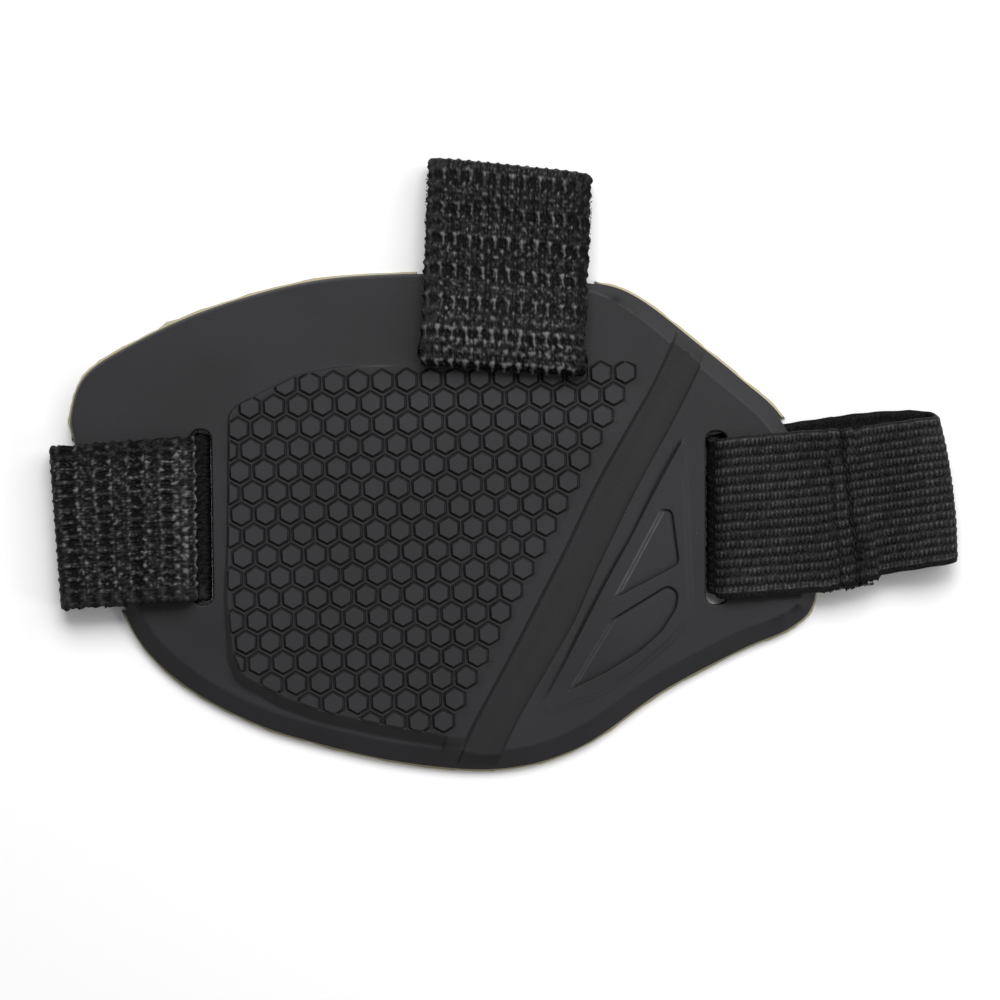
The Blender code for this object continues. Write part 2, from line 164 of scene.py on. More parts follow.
# Slot centre, angle of the outward direction from +X, and the strap's lean off it, in degrees.
# Beyond its reach a strap runs straight; its crosswise lines turn by up to "turn" before that.
# Its far end bows outwards by "bow" in mm: a round end has a low power, a flat one a high power.
LEFT = {"centre": (-70.1, -4.1), "angle": 180.8, "lean": 3.5, "turn": 3.5, "reach": 33.4,
        "length": 41.1, "seat": 40.2, "seat_shift": 0.0, "bow": 0.0, "bow_from": 0.0,
        "bow_power": 2}
TOP = {"centre": (0.6, 33.6), "angle": 86.0, "lean": 1.7, "turn": -1.8, "reach": 22.0,
       "length": 39.4, "seat": 41.1, "seat_shift": 0.0, "bow": 0.5, "bow_from": 34.5,
       "bow_power": 8}
RIGHT = {"centre": (50.8, -4.2), "angle": 0.0, "lean": 7.6, "turn": 7.2, "reach": 25.8,
         "length": 40.6, "seat": 40.3, "seat_shift": 0.75, "bow": 1.1, "bow_from": 44.5,
         "bow_power": 2}

SLOTS = (LEFT, TOP, RIGHT)

# ---- straps: side views of their middles, distance out from the slot and height, in mm ----
WEBBING_WIDTH = 38.4
WEBBING = 1.8
ELASTIC_WIDTH = 36.2
ELASTIC = 1.4
LEFT_PATH = [
    (24.0, 0.9), (14.0, 0.9), (4.5, 0.9), (1.6, 0.9), (-0.6, 1.2), (-1.3, 2.0), (0.1, 2.8),
    (1.4, 3.7), (1.8, 4.9), (2.5, 6.2), (4.0, 7.4), (6.8, 8.2), (11.0, 8.2), (18.0, 7.5), (29.8, 7.4),
    (32.5, 6.3), (33.4, 4.1), (32.5, 1.9), (29.8, 0.9),
]
TOP_PATH = [
    (32.2, 3.0), (28.0, 3.0), (25.2, 2.8), (22.3, 1.5), (19.4, 0.9), (12.0, 0.9), (4.5, 0.9),
    (1.9, 1.15), (1.25, 2.3), (1.2, 3.3), (0.6, 4.5), (-1.6, 5.6), (-2.7, 7.0), (-0.9, 8.7),
    (3.5, 9.6), (8.0, 9.3), (14.0, 8.2), (19.4, 7.3), (25.2, 7.2), (30.0, 7.1), (36.0, 7.1),
    (39.4, 7.1), (42.7, 6.2), (43.7, 4.0), (42.9, 1.9), (40.0, 0.9), (33.0, 0.9), (24.6, 0.9),
]
ELASTIC_BACK_CUT = 30.0
ELASTIC_ROOT_PATH = [
    (ELASTIC_BACK_CUT, 0.7), (23.0, 0.7), (12.0, 0.7), (4.5, 0.7), (1.2, 0.75), (-0.8, 1.05),
    (-1.55, 1.9), (-1.1, 2.8), (0.1, 3.6), (0.6, 4.7), (1.7, 5.9), (4.0, 6.4), (10.0, 6.0),
    (17.0, 5.8), (23.0, 6.2), (27.2, 6.9), (33.8, 7.2),
]
ELASTIC_TIP_PATH = [
    (27.6, 5.2), (36.5, 5.5), (42.0, 6.8), (46.5, 7.8), (49.8, 8.0), (52.8, 6.9), (53.8, 4.4),
    (52.6, 1.8), (49.6, 0.7), (44.0, 0.7), (36.8, 0.7), (ELASTIC_BACK_CUT, 0.7),
]


# ---------------------------------------------------------------- objects

def add_object(name, data):
    item = bpy.data.objects.new(name, data)
    bpy.context.scene.collection.objects.link(item)
    return item


def bridge(mesh, above, below):
    """A band of faces between two closed rows of vertices."""
    for i in range(len(above)):
        j = (i + 1) % len(above)
        mesh.faces.new((above[i], above[j], below[j], below[i]))


def add_bmesh(name, mesh):
    """An object of the scene made from a bmesh, with its faces turned outwards."""
    bmesh.ops.recalc_face_normals(mesh, faces=mesh.faces)
    data = bpy.data.meshes.new(name)
    mesh.to_mesh(data)
    mesh.free()
    return add_object(name, data)


# ---------------------------------------------------------------- lines and distances

def smooth_line(points, steps, closed):
    """Points along a Catmull-Rom curve through the given points, of any dimension."""
    points = np.array(points, float)
    count = len(points)
    rows = []
    for i in range(count if closed else count - 1):
        if closed:
            p0, p1, p2, p3 = (points[(i + k) % count] for k in (-1, 0, 1, 2))
        else:
            p0, p1, p2, p3 = (points[min(max(i + k, 0), count - 1)] for k in (-1, 0, 1, 2))
        for step in range(steps):
            t = step / steps
            rows.append(
                0.5 * (2 * p1 + (p2 - p0) * t + (2 * p0 - 5 * p1 + 4 * p2 - p3) * t * t
                       + (3 * p1 - p0 - 3 * p2 + p3) * t ** 3)
            )
    if not closed:
        rows.append(points[-1])
    return np.array(rows)


def even_line(points, spacing, closed):
    """The same line with evenly spaced points; a closed one doesn't repeat its first point."""
    loop = np.vstack([points, points[:1]]) if closed else points
    lengths = np.linalg.norm(np.diff(loop, axis=0), axis=1)
    along = np.concatenate([[0.0], np.cumsum(lengths)])
    count = max(int(round(along[-1] / spacing)), 2)
    places = np.linspace(0.0, along[-1], count + 1)
    if closed:
        places = places[:-1]
    columns = [np.interp(places, along, loop[:, k]) for k in range(loop.shape[1])]
    return np.column_stack(columns), places, along[-1]


def rounded_polygon(points, radius, steps=3):
    """A polygon whose corners are cut back and rounded by up to the given radius."""
    points = np.array(points, float)
    count = len(points)
    rows = []
    for i in range(count):
        here = points[i]
        before, after = points[i - 1] - here, points[(i + 1) % count] - here
        reach = min(radius, 0.45 * np.linalg.norm(before), 0.45 * np.linalg.norm(after))
        a = here + before / np.linalg.norm(before) * reach
        b = here + after / np.linalg.norm(after) * reach
        for step in range(steps + 1):
            t = step / steps
            rows.append(a * (1 - t) ** 2 + here * 2 * t * (1 - t) + b * t * t)
    return np.array(rows)


def line_normals(points, closed=True):
    """Unit normals to the left of the direction of travel."""
    if closed:
        along = np.roll(points, -1, axis=0) - np.roll(points, 1, axis=0)
    else:
        along = np.gradient(points, axis=0)
    along = along / np.maximum(np.linalg.norm(along, axis=1), 1e-9)[:, None]
    return np.column_stack([-along[:, 1], along[:, 0]])


def signed_area(points):
    x, y = points[:, 0], points[:, 1]
    return 0.5 * float(np.sum(x * np.roll(y, -1) - np.roll(x, -1) * y))


def offset_ring(points, distance):
    """The closed line moved inwards by a distance, or by one for each point."""
    side = 1.0 if signed_area(points) > 0 else -1.0
    distance = np.broadcast_to(np.asarray(distance, float), (len(points),))
    return points + line_normals(points) * side * distance[:, None]


def distance_to(points, line, closed, extra=None):
    """Distance of each point from a line, and the extra value there; signed, positive inside."""
    best = np.full(len(points), np.inf)
    value = np.zeros(len(points))
    inside = np.zeros(len(points), bool)
    ends = np.roll(np.arange(len(line)), -1) if closed else np.arange(1, len(line))
    for i, j in enumerate(ends):
        a, b = line[i], line[j]
        ab = b - a
        t = np.clip(((points - a) @ ab) / max(ab @ ab, 1e-12), 0.0, 1.0)
        gap = np.linalg.norm(points - (a + t[:, None] * ab), axis=1)
        closer = gap < best
        best[closer] = gap[closer]
        if extra is not None:
            value[closer] = (extra[i] + (extra[j] - extra[i]) * t)[closer]
        if closed and a[1] != b[1]:
            cross = (a[1] > points[:, 1]) != (b[1] > points[:, 1])
            x = a[0] + (points[:, 1] - a[1]) / (b[1] - a[1]) * ab[0]
            inside ^= cross & (points[:, 0] < x)
    if closed:
        best = np.where(inside, best, -best)
    return (best, value) if extra is not None else best


def side_distance(points, line):
    """Signed distance from an open line that runs downwards, positive to its right."""
    best = np.full(len(points), np.inf)
    for a, b in zip(line, line[1:]):
        ab = b - a
        t = np.clip(((points - a) @ ab) / (ab @ ab), 0.0, 1.0)
        off = points - (a + t[:, None] * ab)
        gap = np.linalg.norm(off, axis=1)
        side = np.where(ab[0] * off[:, 1] - ab[1] * off[:, 0] > 0, 1.0, -1.0)
        closer = gap < np.abs(best)
        best[closer] = (gap * side)[closer]
    return best


def smoothstep(t):
    t = np.clip(t, 0.0, 1.0)
    return t * t * (3 - 2 * t)


def corner(t, r):
    """0 below 0 and t above it, with the corner rounded over r on each side."""
    return np.where(t <= -r, 0.0, np.where(t >= r, t, (t + r) ** 2 / (4 * r)))


def ramp(t, r=0.25):
    """A straight rise from 0 at t=0 to 1 at t=1 with rounded corners."""
    return corner(t, r) - corner(t - 1.0, r)


def curve(x, *stops):
    """A value for each x, in straight lines through the stops, each an x and a value."""
    return np.interp(x, [stop[0] for stop in stops], [stop[1] for stop in stops])


def bump_at(x, width):
    """1 at 0, falling off smoothly on both sides."""
    return np.exp(-((x / width) ** 2))


# ---------------------------------------------------------------- the pad's relief

def slot_axes(slot):
    angle = math.radians(slot["angle"])
    out = np.array([math.cos(angle), math.sin(angle)])
    return np.array(slot["centre"]), out, np.array([-out[1], out[0]])


def slot_ring(slot, grow=0.0):
    """Outline of a slot, or of the line a little way outside it."""
    centre, out, along = slot_axes(slot)
    x, y = SLOT_WIDTH / 2 + grow, slot["length"] / 2 + grow
    r = SLOT_CORNER + grow
    rows = []
    for quarter, (sx, sy) in enumerate(((1, 1), (-1, 1), (-1, -1), (1, -1))):
        for step in range(7):
            angle = math.pi / 2 * (quarter + step / 6)
            u = sx * (x - r) + r * math.cos(angle)
            v = sy * (y - r) + r * math.sin(angle)
            rows.append(centre + out * u + along * v)
    return np.array(rows)


EDGE_LINE = smooth_line(EDGE, EDGE_STEPS, True)
OUTLINE, BEVEL = EDGE_LINE[:, :2], EDGE_LINE[:, 2]
PLATFORM_LINE = rounded_polygon(PLATFORM, 1.2)
SPUR_LINE = rounded_polygon(SPUR, 0.3)
PANEL_LINE = rounded_polygon(PANEL, 2.0)
WINDOW_LINES = [rounded_polygon(window["others"], 1.3) for window in WINDOWS]
WINDOW_SIDES = [np.linspace(*np.array(window["left"]), 12) for window in WINDOWS]
A_LINE = smooth_line(CHANNEL_LEFT, LINE_STEPS, False)
B_LINE = smooth_line(CHANNEL_RIGHT, LINE_STEPS, False)
C_LINE = smooth_line(PANEL_LEFT, LINE_STEPS, False)


def edge_rounding(bevel):
    """Share of the bevel's width over which its upper corner is rounded."""
    return np.interp(bevel, [0.6, 2.0, 4.0], [0.6, 0.3, 0.1])


def platform_wall(points):
    """Width of the platform's outer wall: thin up the left side, a wide slope at the bottom."""
    y = points[:, 1]
    return np.interp(y, [-52.0, -44.0, -40.0, -34.0, -20.0, -10.0], [2.9, 2.9, 2.3, 1.4, 0.9, 0.4])


def stud_centres():
    """A honeycomb over the platform, up to the last whole stud before the channel."""
    turn = STUD_FIELD_TURN
    right = STUD_PITCH * np.array([math.cos(turn), math.sin(turn)])
    down = right / 2 + STUD_ROW * np.array([math.sin(turn), -math.cos(turn)])
    places = np.array([
        np.array(STUD_START) + right * column + down * row
        for row in range(-1, 18) for column in range(-16, 16)
    ])
    x, y = places[:, 0], places[:, 1]
    keep = (x > -67) & (x < 34) & (y > -60) & (y < 34)
    keep &= -side_distance(places, A_LINE) > STUD_CLEAR
    keep &= distance_to(places, PLATFORM_LINE, True) > STUD_KEPT
    return places[keep]


# Strength of the painted highlight on each window's lit steps.
WINDOW_PAINTED_HIGHLIGHT = (0.6, 0.25)
WINDOW_CREASES = (-0.2, -0.1, 0.0, 0.12, 0.38, 0.5, 0.62, 0.75, 0.88, 1.12, 1.25, 1.4)
STUDS = stud_centres()
HEX_AXES = [STUD_FIELD_TURN + math.radians(60) * k for k in range(3)]


def stud_inside(points):
    """How far inside the nearest stud's foot each point lies."""
    best = np.full(len(points), -10.0)
    for centre in STUDS:
        near = np.flatnonzero(np.abs(points - centre).max(axis=1) < STUD_PITCH)
        if not len(near):
            continue
        off = points[near] - centre
        reach = np.max([np.abs(off @ (math.cos(a), math.sin(a))) for a in HEX_AXES], axis=0)
        best[near] = np.maximum(best[near], STUD_ACROSS / 2 - reach)
    return best


def pad_face(points, platform, right_of_a):
    """Height of the moulded face with its bevel and raised field, before anything is cut in."""
    x, y = points[:, 0], points[:, 1]
    low = smoothstep((-22.0 - y) / 22.0) * smoothstep((2.0 - x) / 16.0)
    face = PAD_TOP - (PAD_TOP - LOW_TOP) * low
    wall = platform_wall(points)
    raised = ramp((platform + wall) / wall, 0.12)
    spur = ramp((distance_to(points, SPUR_LINE, True) + SPUR_WALL) / SPUR_WALL)
    raised = np.maximum(raised, spur * (1 - smoothstep((-55.5 - y) / 5.5)))
    sunk_top = smoothstep((y - 14.0) / 14.0) * smoothstep((x + 40.0) / 18.0)
    field = PLATFORM_TOP - 0.3 * smoothstep(1.0 + right_of_a / 7.0)
    field = field - (field - PAD_TOP) * sunk_top
    face = face + np.maximum(field - face, 0.0) * raised
    edge, bevel = distance_to(points, OUTLINE, True, BEVEL)
    fall = 1.0 - corner(1.0 - edge / bevel, edge_rounding(bevel))
    z = WALL_TOP + (face - WALL_TOP) * np.clip(fall, 0.0, 1.0)
    # Painted shade on the bottom of the platform's outer slope, which faces away from the light.
    slope = smoothstep((platform + wall) / 0.5) * smoothstep(-platform / 0.4)
    shaded = 0.4 * slope * smoothstep((-36.0 - y) / 6.0)
    return z, edge, shaded


def cut_channel(z, points, edge, right_of_a):
    """The diagonal channel: a hollow floor between two steps, with a groove at each step's foot."""
    left_of_b = -side_distance(points, B_LINE)
    across = right_of_a / np.maximum(right_of_a + left_of_b, 1e-6)
    floor = np.interp(
        across, [0.0, 0.45, 1.0], [CHANNEL_LEFT_FLOOR, CHANNEL_MID_FLOOR, CHANNEL_RIGHT_FLOOR])
    inside = ramp((right_of_a + 0.45) / 0.45) * ramp((left_of_b + 0.5) / 0.5)
    z = z - np.maximum(z - floor, 0.0) * inside
    on_top = inside * smoothstep((edge - 0.8) / 0.8)
    a_groove = bump_at(right_of_a - 0.2, 0.28) * on_top
    b_groove = bump_at(left_of_b - 0.1, 0.3) * on_top
    # Painted shade over the channel's floor, heavier towards its right step, and in both grooves.
    painted_shade = np.max([on_top * (0.28 + 0.32 * across), 0.9 * a_groove, 0.6 * b_groove], axis=0)
    return z - 0.26 * a_groove - 0.1 * b_groove, painted_shade


def raise_panel(z, points):
    """The three-cornered panel, in two steps at its left, which fades out at its lower end."""
    y = points[:, 1]
    right_of_c = side_distance(points, C_LINE)
    panel = distance_to(points, PANEL_LINE, True)
    stepped = smoothstep((right_of_c - np.abs(panel) - 0.3) / 2.0)
    first = ramp((panel + 0.3) / 0.55)
    second = ramp((panel + 0.3 - 1.1 * stepped) / 0.55)
    fade = smoothstep((y + 46.0) / 16.0) * (1 - 0.9 * smoothstep((-40.0 - y) / 5.0))
    z = z + (PLATFORM_TOP - PAD_TOP) * (0.5 * first + 0.5 * second) * (0.12 + 0.88 * fade)
    groove = bump_at(right_of_c + 0.25, 0.36) * (np.abs(panel) < 3.0)
    groove = groove * smoothstep((y + 49.0) / 5.0) * smoothstep((14.6 - y) / 1.5)
    # The groove's mask also comes back as painted shade along the panel's left foot.
    return z - 0.22 * groove, groove


def cut_windows(z, points):
    """The panel's two windows, each with a double step on its slanted left side, painted shade in the groove
    at their foot and a painted highlight on the lit steps.
    """
    painted_shade = np.zeros(len(points))
    overlay = np.zeros(len(points))
    for others, side, pale_paint in zip(WINDOW_LINES, WINDOW_SIDES, WINDOW_PAINTED_HIGHLIGHT):
        sunk = distance_to(points, others, True)
        from_left = beyond_line(points, side[0], side[-1])
        first = ramp(from_left / WINDOW_STEP)
        second = ramp((from_left - WINDOW_STEP - WINDOW_TREAD) / WINDOW_STEP)
        share = np.minimum(ramp((sunk + 0.1) / WINDOW_WALL), 0.5 * first + 0.5 * second)
        groove = bump_at(sunk - 0.25, 0.28) * smoothstep((from_left - 0.6) / 0.8)
        z = z - (PLATFORM_TOP - WINDOW_FLOOR) * share - 0.10 * groove
        painted_shade = np.maximum(painted_shade, 0.8 * groove)
        # Painted highlight on the steps of the slanted left side, which face the light, broken into patches.
        slope = np.maximum(4 * first * (1 - first), 4 * second * (1 - second))
        patchy = 0.75 + 0.25 * np.sin(points[:, 1] * 1.3) * np.sin(points[:, 1] * 3.1)
        overlay = np.maximum(overlay, pale_paint * patchy * slope * smoothstep((sunk - 0.3) / 0.5))
    return z, painted_shade, overlay


def raise_studs(z, points, platform):
    """Each stud in its moat, with painted shade in the moat and between the studs, heaviest on each stud's
    lower left side away from the light, and a slightly paler stud top.
    """
    stud = stud_inside(points)
    on_platform = ramp((platform + 0.1) / STUD_CUT, 0.2)
    moat = ramp((stud + MOAT) / MOAT_WALL, 0.25) * on_platform
    knob = ramp(stud / STUD_WALL, 0.2) * on_platform
    z = z - MOAT_DEPTH * moat + (STUD_TOP - PLATFORM_TOP + MOAT_DEPTH) * knob
    far_side = smoothstep((stud_inside(points + FAR_SIDE_STEP) - stud + 0.1) / 0.4)
    between = 0.5 * smoothstep((stud + 0.7) / 0.3) * on_platform
    painted_shade = (1 - knob) * np.maximum(moat * (0.55 + 0.45 * far_side), between)
    return z, painted_shade, 0.02 * knob


def slot_lips(points):
    """How near each place is to the edge of a slot, from 0 to 1."""
    lip = np.zeros(len(points))
    for slot in SLOTS:
        gap = -distance_to(points, slot_ring(slot), True)
        lip = np.maximum(lip, np.clip(1 - gap / SLOT_LIP, 0.0, 1.0))
    return lip


def pad_height(points):
    """Height of the pad's moulded face at each place, its painted shade and its pale paint (the windows'
    painted highlight and the paler stud tops).
    """
    right_of_a = side_distance(points, A_LINE)
    platform = distance_to(points, PLATFORM_LINE, True)
    z, edge, shaded = pad_face(points, platform, right_of_a)
    z, channel = cut_channel(z, points, edge, right_of_a)
    z, panel = raise_panel(z, points)
    z, windows, painted_highlight = cut_windows(z, points)
    z, moats, overlay = raise_studs(z, points, platform)
    lip = slot_lips(points)
    # Painted shade: on the long slope, over the channel, along the panel's groove, in the windows' grooves,
    # in the moats and round the slots' edges.
    painted_shade = np.max([shaded, channel, panel, windows, moats, 0.8 * lip], axis=0)
    return z - 0.35 * lip ** 2, painted_shade, np.maximum(painted_highlight, overlay)


def beyond_line(points, start, end):
    """Signed distance from the endless line through two points, positive to its right going down."""
    along = (end - start) / np.linalg.norm(end - start)
    off = points - start
    return along[0] * off[:, 1] - along[1] * off[:, 0]


# How far inside each line the mesh has rings, to follow the rounding of the steps there.
WINDOW_INSETS = (-0.3, -0.2, -0.1, 0.05, 0.2, 0.35, 0.5, 0.7)
RING_INSETS = (
    (PLATFORM_LINE, 1.0, (-0.2, -0.1, 0.02, 0.15, 0.25, 0.35)),
    (SPUR_LINE, 1.0, (-0.45, -0.3, -0.1, 0.0)),
    (PANEL_LINE, 1.0, (-0.5, -0.3, -0.1, 0.1, 0.25, 0.4, 0.8, 1.0, 1.2, 1.35, 1.6)),
    (WINDOW_LINES[0], 0.8, WINDOW_INSETS),
    (WINDOW_LINES[1], 0.8, WINDOW_INSETS),
)
# The same beside the open lines, to the right of a line with side -1 and to the left with side 1.
CREASE_OFFSETS = (
    (A_LINE, -1, (-0.56, -0.45, -0.34, -0.2, -0.1, 0.0, 0.12, 0.25, 0.38, 0.5, 0.7, 0.95)),
    (B_LINE, 1, (-0.62, -0.5, -0.38, -0.2, -0.05, 0.1, 0.25, 0.4, 0.6)),
    (C_LINE, 1, (0.8, 0.6, 0.45, 0.3, 0.15, 0.0)),
    (WINDOW_SIDES[0], -1, WINDOW_CREASES),
    (WINDOW_SIDES[1], -1, WINDOW_CREASES),
)


def pad_lines():
    """The lines that the pad's mesh follows: closed rings and open creases."""
    rings, creases = [], []
    for share in (0.0, 0.35, 0.7, 0.9, 1.0, 1.12, 1.35):
        rings.append(offset_ring(OUTLINE, BEVEL * share))
    rings.append(offset_ring(OUTLINE, BEVEL * (1.05 + edge_rounding(BEVEL))))
    fine = even_line(PLATFORM_LINE, 1.0, True)[0]
    wall = platform_wall(fine)
    for share in (-1.12, -1.0, -0.85, -0.5, -0.12, 0.0, 0.12):
        rings.append(offset_ring(fine, wall * share))
    for line, spacing, insets in RING_INSETS:
        fine = even_line(line, spacing, True)[0]
        rings += [offset_ring(fine, inset) for inset in insets]
    for slot in SLOTS:
        rings += [slot_ring(slot, grow) for grow in (0.0, 0.1, 0.22, 0.36, 0.5, 0.8)]
    turns = STUD_FIELD_TURN + np.radians(30 + 60 * np.arange(6))
    compass = np.column_stack([np.cos(turns), np.sin(turns)])
    for centre in STUDS:
        for inset in STUD_INSETS:
            radius = (STUD_ACROSS / 2 - inset) / math.cos(math.radians(30))
            rings.append(centre + radius * compass)
    for line, side, offsets in CREASE_OFFSETS:
        for offset in offsets:
            creases.append(line - line_normals(line, False) * side * offset)
    return rings, creases


def spread_points():
    """A loose grid of points that keeps the pad's triangles from growing long."""
    xs = np.arange(-100.0, 76.0, 2.2)
    ys = np.arange(-64.0, 55.0, 2.2)
    grid = np.array([(x + (1.1 if k % 2 else 0.0), y) for k, y in enumerate(ys) for x in xs])
    return grid[distance_to(grid, OUTLINE, True) > 0.8]


def flat_mesh(rings, creases, loose):
    """Triangles over the plan that follow every ring and crease."""
    points, edges = [], []
    for ring in rings:
        start = len(points)
        points += [Vector(p) for p in ring]
        edges += [(start + i, start + (i + 1) % len(ring)) for i in range(len(ring))]
    for crease in creases:
        start = len(points)
        points += [Vector(p) for p in crease]
        edges += [(start + i, start + i + 1) for i in range(len(crease) - 1)]
    points += [Vector(p) for p in loose]
    verts, _, faces, _, _, _ = delaunay_2d_cdt(points, edges, [], 0, 1e-4)
    return np.array([tuple(v) for v in verts]), np.array(faces)


def pad_shell():
    """The pad as a closed body: moulded face, wall, flash, flat back and slots."""
    rings, creases = pad_lines()
    points, faces = flat_mesh(rings, creases, spread_points())
    middles = points[faces].mean(axis=1)
    keep = distance_to(middles, OUTLINE, True) > 0
    for slot in SLOTS:
        keep &= distance_to(middles, slot_ring(slot), True) < 0
    faces = faces[keep]
    used, faces = np.unique(faces, return_inverse=True)
    faces = faces.reshape(-1, 3)
    points = points[used]
    heights, painted_shade, overlay = pad_height(points)

    mesh = bmesh.new()
    # The vertices carry the painted shade, the pale paint (the windows' painted highlight and the paler stud
    # tops) and the flash's pale rim.
    mesh.verts.layers.float.new("rim")
    mesh.verts.layers.float.new("painted_shade")
    mesh.verts.layers.float.new("overlay")
    groove = mesh.verts.layers.float["painted_shade"]
    pale_paint = mesh.verts.layers.float["overlay"]
    verts = []
    for (x, y), z, shade_amount, pale_share in zip(points, heights, painted_shade, overlay):
        vert = mesh.verts.new((x * MM, y * MM, z * MM))
        vert[groove] = shade_amount
        vert[pale_paint] = pale_share
        verts.append(vert)
    for a, b, c in faces:
        mesh.faces.new((verts[a], verts[b], verts[c]))
    mesh.normal_update()
    for face in mesh.faces:
        if face.normal.z < 0:
            face.normal_flip()
    loops = boundary_loops(mesh)
    rows = []
    for loop in loops:
        line = np.array([(v.co.x / MM, v.co.y / MM) for v in loop])
        outer = np.abs(line).max() > 80 and len(loop) > 100
        rows.append(wall_down(mesh, loop, line, outer))
    cap = tessellate_polygon([[v.co.copy() for v in row] for row in rows])
    flat = [v for row in rows for v in row]
    for corners in cap:
        mesh.faces.new([flat[i] for i in corners])
    return add_bmesh("shield_pad_moulding", mesh)


def boundary_loops(mesh):
    """The open edges of a mesh as lists of vertices in order, the longest first."""
    ends = {}
    for edge in mesh.edges:
        if edge.is_boundary:
            for vert in edge.verts:
                ends.setdefault(vert, []).append(edge.other_vert(vert))
    loops, seen = [], set()
    for start in ends:
        if start in seen:
            continue
        loop, here, before = [start], ends[start][0], start
        seen.add(start)
        while here is not start:
            loop.append(here)
            seen.add(here)
            following = [v for v in ends[here] if v is not before]
            before, here = here, following[0]
        loops.append(loop)
    return sorted(loops, key=len, reverse=True)


def flash_reach(line):
    """How far the mould flash sticks out: ragged, with two nubs on the upper left edge."""
    x, y = line[:, 0], line[:, 1]
    ragged = 0.18 * np.sin(x * 0.7 + 1.0) * np.sin(y * 0.9) + 0.12 * np.sin(x * 2.1 + y * 1.7)
    reach = FLASH_REACH * (0.8 + ragged)
    for x, y, size in ((-58.2, 49.6, 0.9), (-78.2, 41.3, 0.6)):
        gap = np.linalg.norm(line - (x, y), axis=1)
        reach = reach + size * np.exp(-((gap / 0.8) ** 2))
    return reach


def wall_down(mesh, loop, line, outer):
    """Faces from one open edge of the pad's face down to its back; gives the lowest vertices."""
    if outer:
        reach = flash_reach(line)
        brim, inner = offset_ring(line, -reach), offset_ring(line, -reach * 0.9)
        steps = [(line, WALL_TOP * 0.55), (line, FLASH_TOP), (inner, FLASH_TOP * 0.9),
                 (brim, FLASH_TOP * 0.5), (brim, 0.0)]
    else:
        steps = [(line, 2.6), (line, 0.0)]
    rim, groove = mesh.verts.layers.float["rim"], mesh.verts.layers.float["painted_shade"]
    above = loop
    for number, (places, height) in enumerate(steps):
        below = [mesh.verts.new((x * MM, y * MM, height * MM)) for x, y in places]
        # Slot walls take full painted shade; the flash below the face's edge takes its pale raw colour.
        for vert in below:
            if not outer:
                vert[groove] = 1.0
            elif number >= 1:
                vert[rim] = 1.0
        bridge(mesh, above, below)
        above = below
    return above


def seat_cutter(slot):
    """The space in the pad's back that one strap lies in."""
    centre, out, along = slot_axes(slot)
    half = slot["seat"] / 2 + SEAT_MARGIN
    lean = math.tan(math.radians(slot["lean"]))
    mesh = bmesh.new()
    rows = []
    for height in (-2.0, SEAT_TOP):
        corners = [(SEAT_START, -half), (SEAT_END, -half), (SEAT_END, half), (SEAT_START, half)]
        places = [centre + out * u + along * (v + slot["seat_shift"] + u * lean) for u, v in corners]
        rows.append([mesh.verts.new((x * MM, y * MM, height * MM)) for x, y in places])
    mesh.faces.new(rows[0])
    mesh.faces.new(rows[1])
    bridge(mesh, *rows)
    return add_bmesh("seat", mesh)


def apply_modifiers(item):
    """Bakes an object's modifiers into its mesh."""
    graph = bpy.context.evaluated_depsgraph_get()
    mesh = bpy.data.meshes.new_from_object(item.evaluated_get(graph))
    item.modifiers.clear()
    item.data = mesh


def shade(item, degrees):
    """Smooth shading with creases where faces meet at more than the given angle."""
    item.data.polygons.foreach_set("use_smooth", [True] * len(item.data.polygons))
    item.data.set_sharp_from_angle(angle=math.radians(degrees))


def read_numbers(items, field, kind, width=1):
    """A field of all of a mesh's items, as an array with a row for each."""
    values = np.empty(len(items) * width, kind)
    items.foreach_get(field, values)
    return values.reshape(-1, width) if width > 1 else values


def relief_normals(item):
    """Takes the moulded face's normals from the slopes of its relief, so that flats shade flat."""
    mesh = item.data
    places = read_numbers(mesh.vertices, "co", np.float32, 3).astype(float) / MM
    high = np.flatnonzero(places[:, 2] > WALL_TOP + 0.02)
    plan = places[high, :2]
    on_face = np.abs(pad_height(plan)[0] - places[high, 2]) < 0.02
    for slot in SLOTS:
        on_face &= distance_to(plan, slot_ring(slot), True) < -0.03
    high, plan = high[on_face], plan[on_face]
    slopes = []
    for step in np.eye(2) * SLOPE_STEP:
        rise = pad_height(plan + step)[0] - pad_height(plan - step)[0]
        slopes.append(rise / (2 * SLOPE_STEP))
    normals = np.zeros((len(places), 3))
    normals[high] = np.column_stack([-slopes[0], -slopes[1], np.ones(len(high))])
    normals[high] /= np.linalg.norm(normals[high], axis=1)[:, None]
    known = np.zeros(len(places), bool)
    known[high] = True

    corners = read_numbers(mesh.loops, "vertex_index", np.int32)
    sizes = read_numbers(mesh.polygons, "loop_total", np.int32)
    facing = read_numbers(mesh.polygons, "normal", np.float32, 3)
    owner = np.repeat(np.arange(len(sizes)), sizes)
    use = known[corners] & (facing[owner, 2] > 0.15)
    custom = np.where(use[:, None], normals[corners], 0.0)
    mesh.normals_split_custom_set(custom.tolist())


def make_pad():
    pad = pad_shell()
    cutters = [seat_cutter(slot) for slot in SLOTS]
    for cutter in cutters:
        cut = pad.modifiers.new("seat", "BOOLEAN")
        cut.operation = "DIFFERENCE"
        cut.solver = "EXACT"
        cut.object = cutter
    apply_modifiers(pad)
    for cutter in cutters:
        bpy.data.objects.remove(cutter, do_unlink=True)
    shade(pad, 40)
    relief_normals(pad)
    pad.data.materials.clear()
    pad.data.materials.append(rubber_material())
    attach(pad, "pad")
    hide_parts("shield_pad")
    return pad


# ---------------------------------------------------------------- materials

RUBBER_TONES = ((0.3, (0.0125, 0.0124, 0.0140)), (0.7, (0.0175, 0.0172, 0.0196)))
DUST_COLOUR = (0.16, 0.16, 0.16)
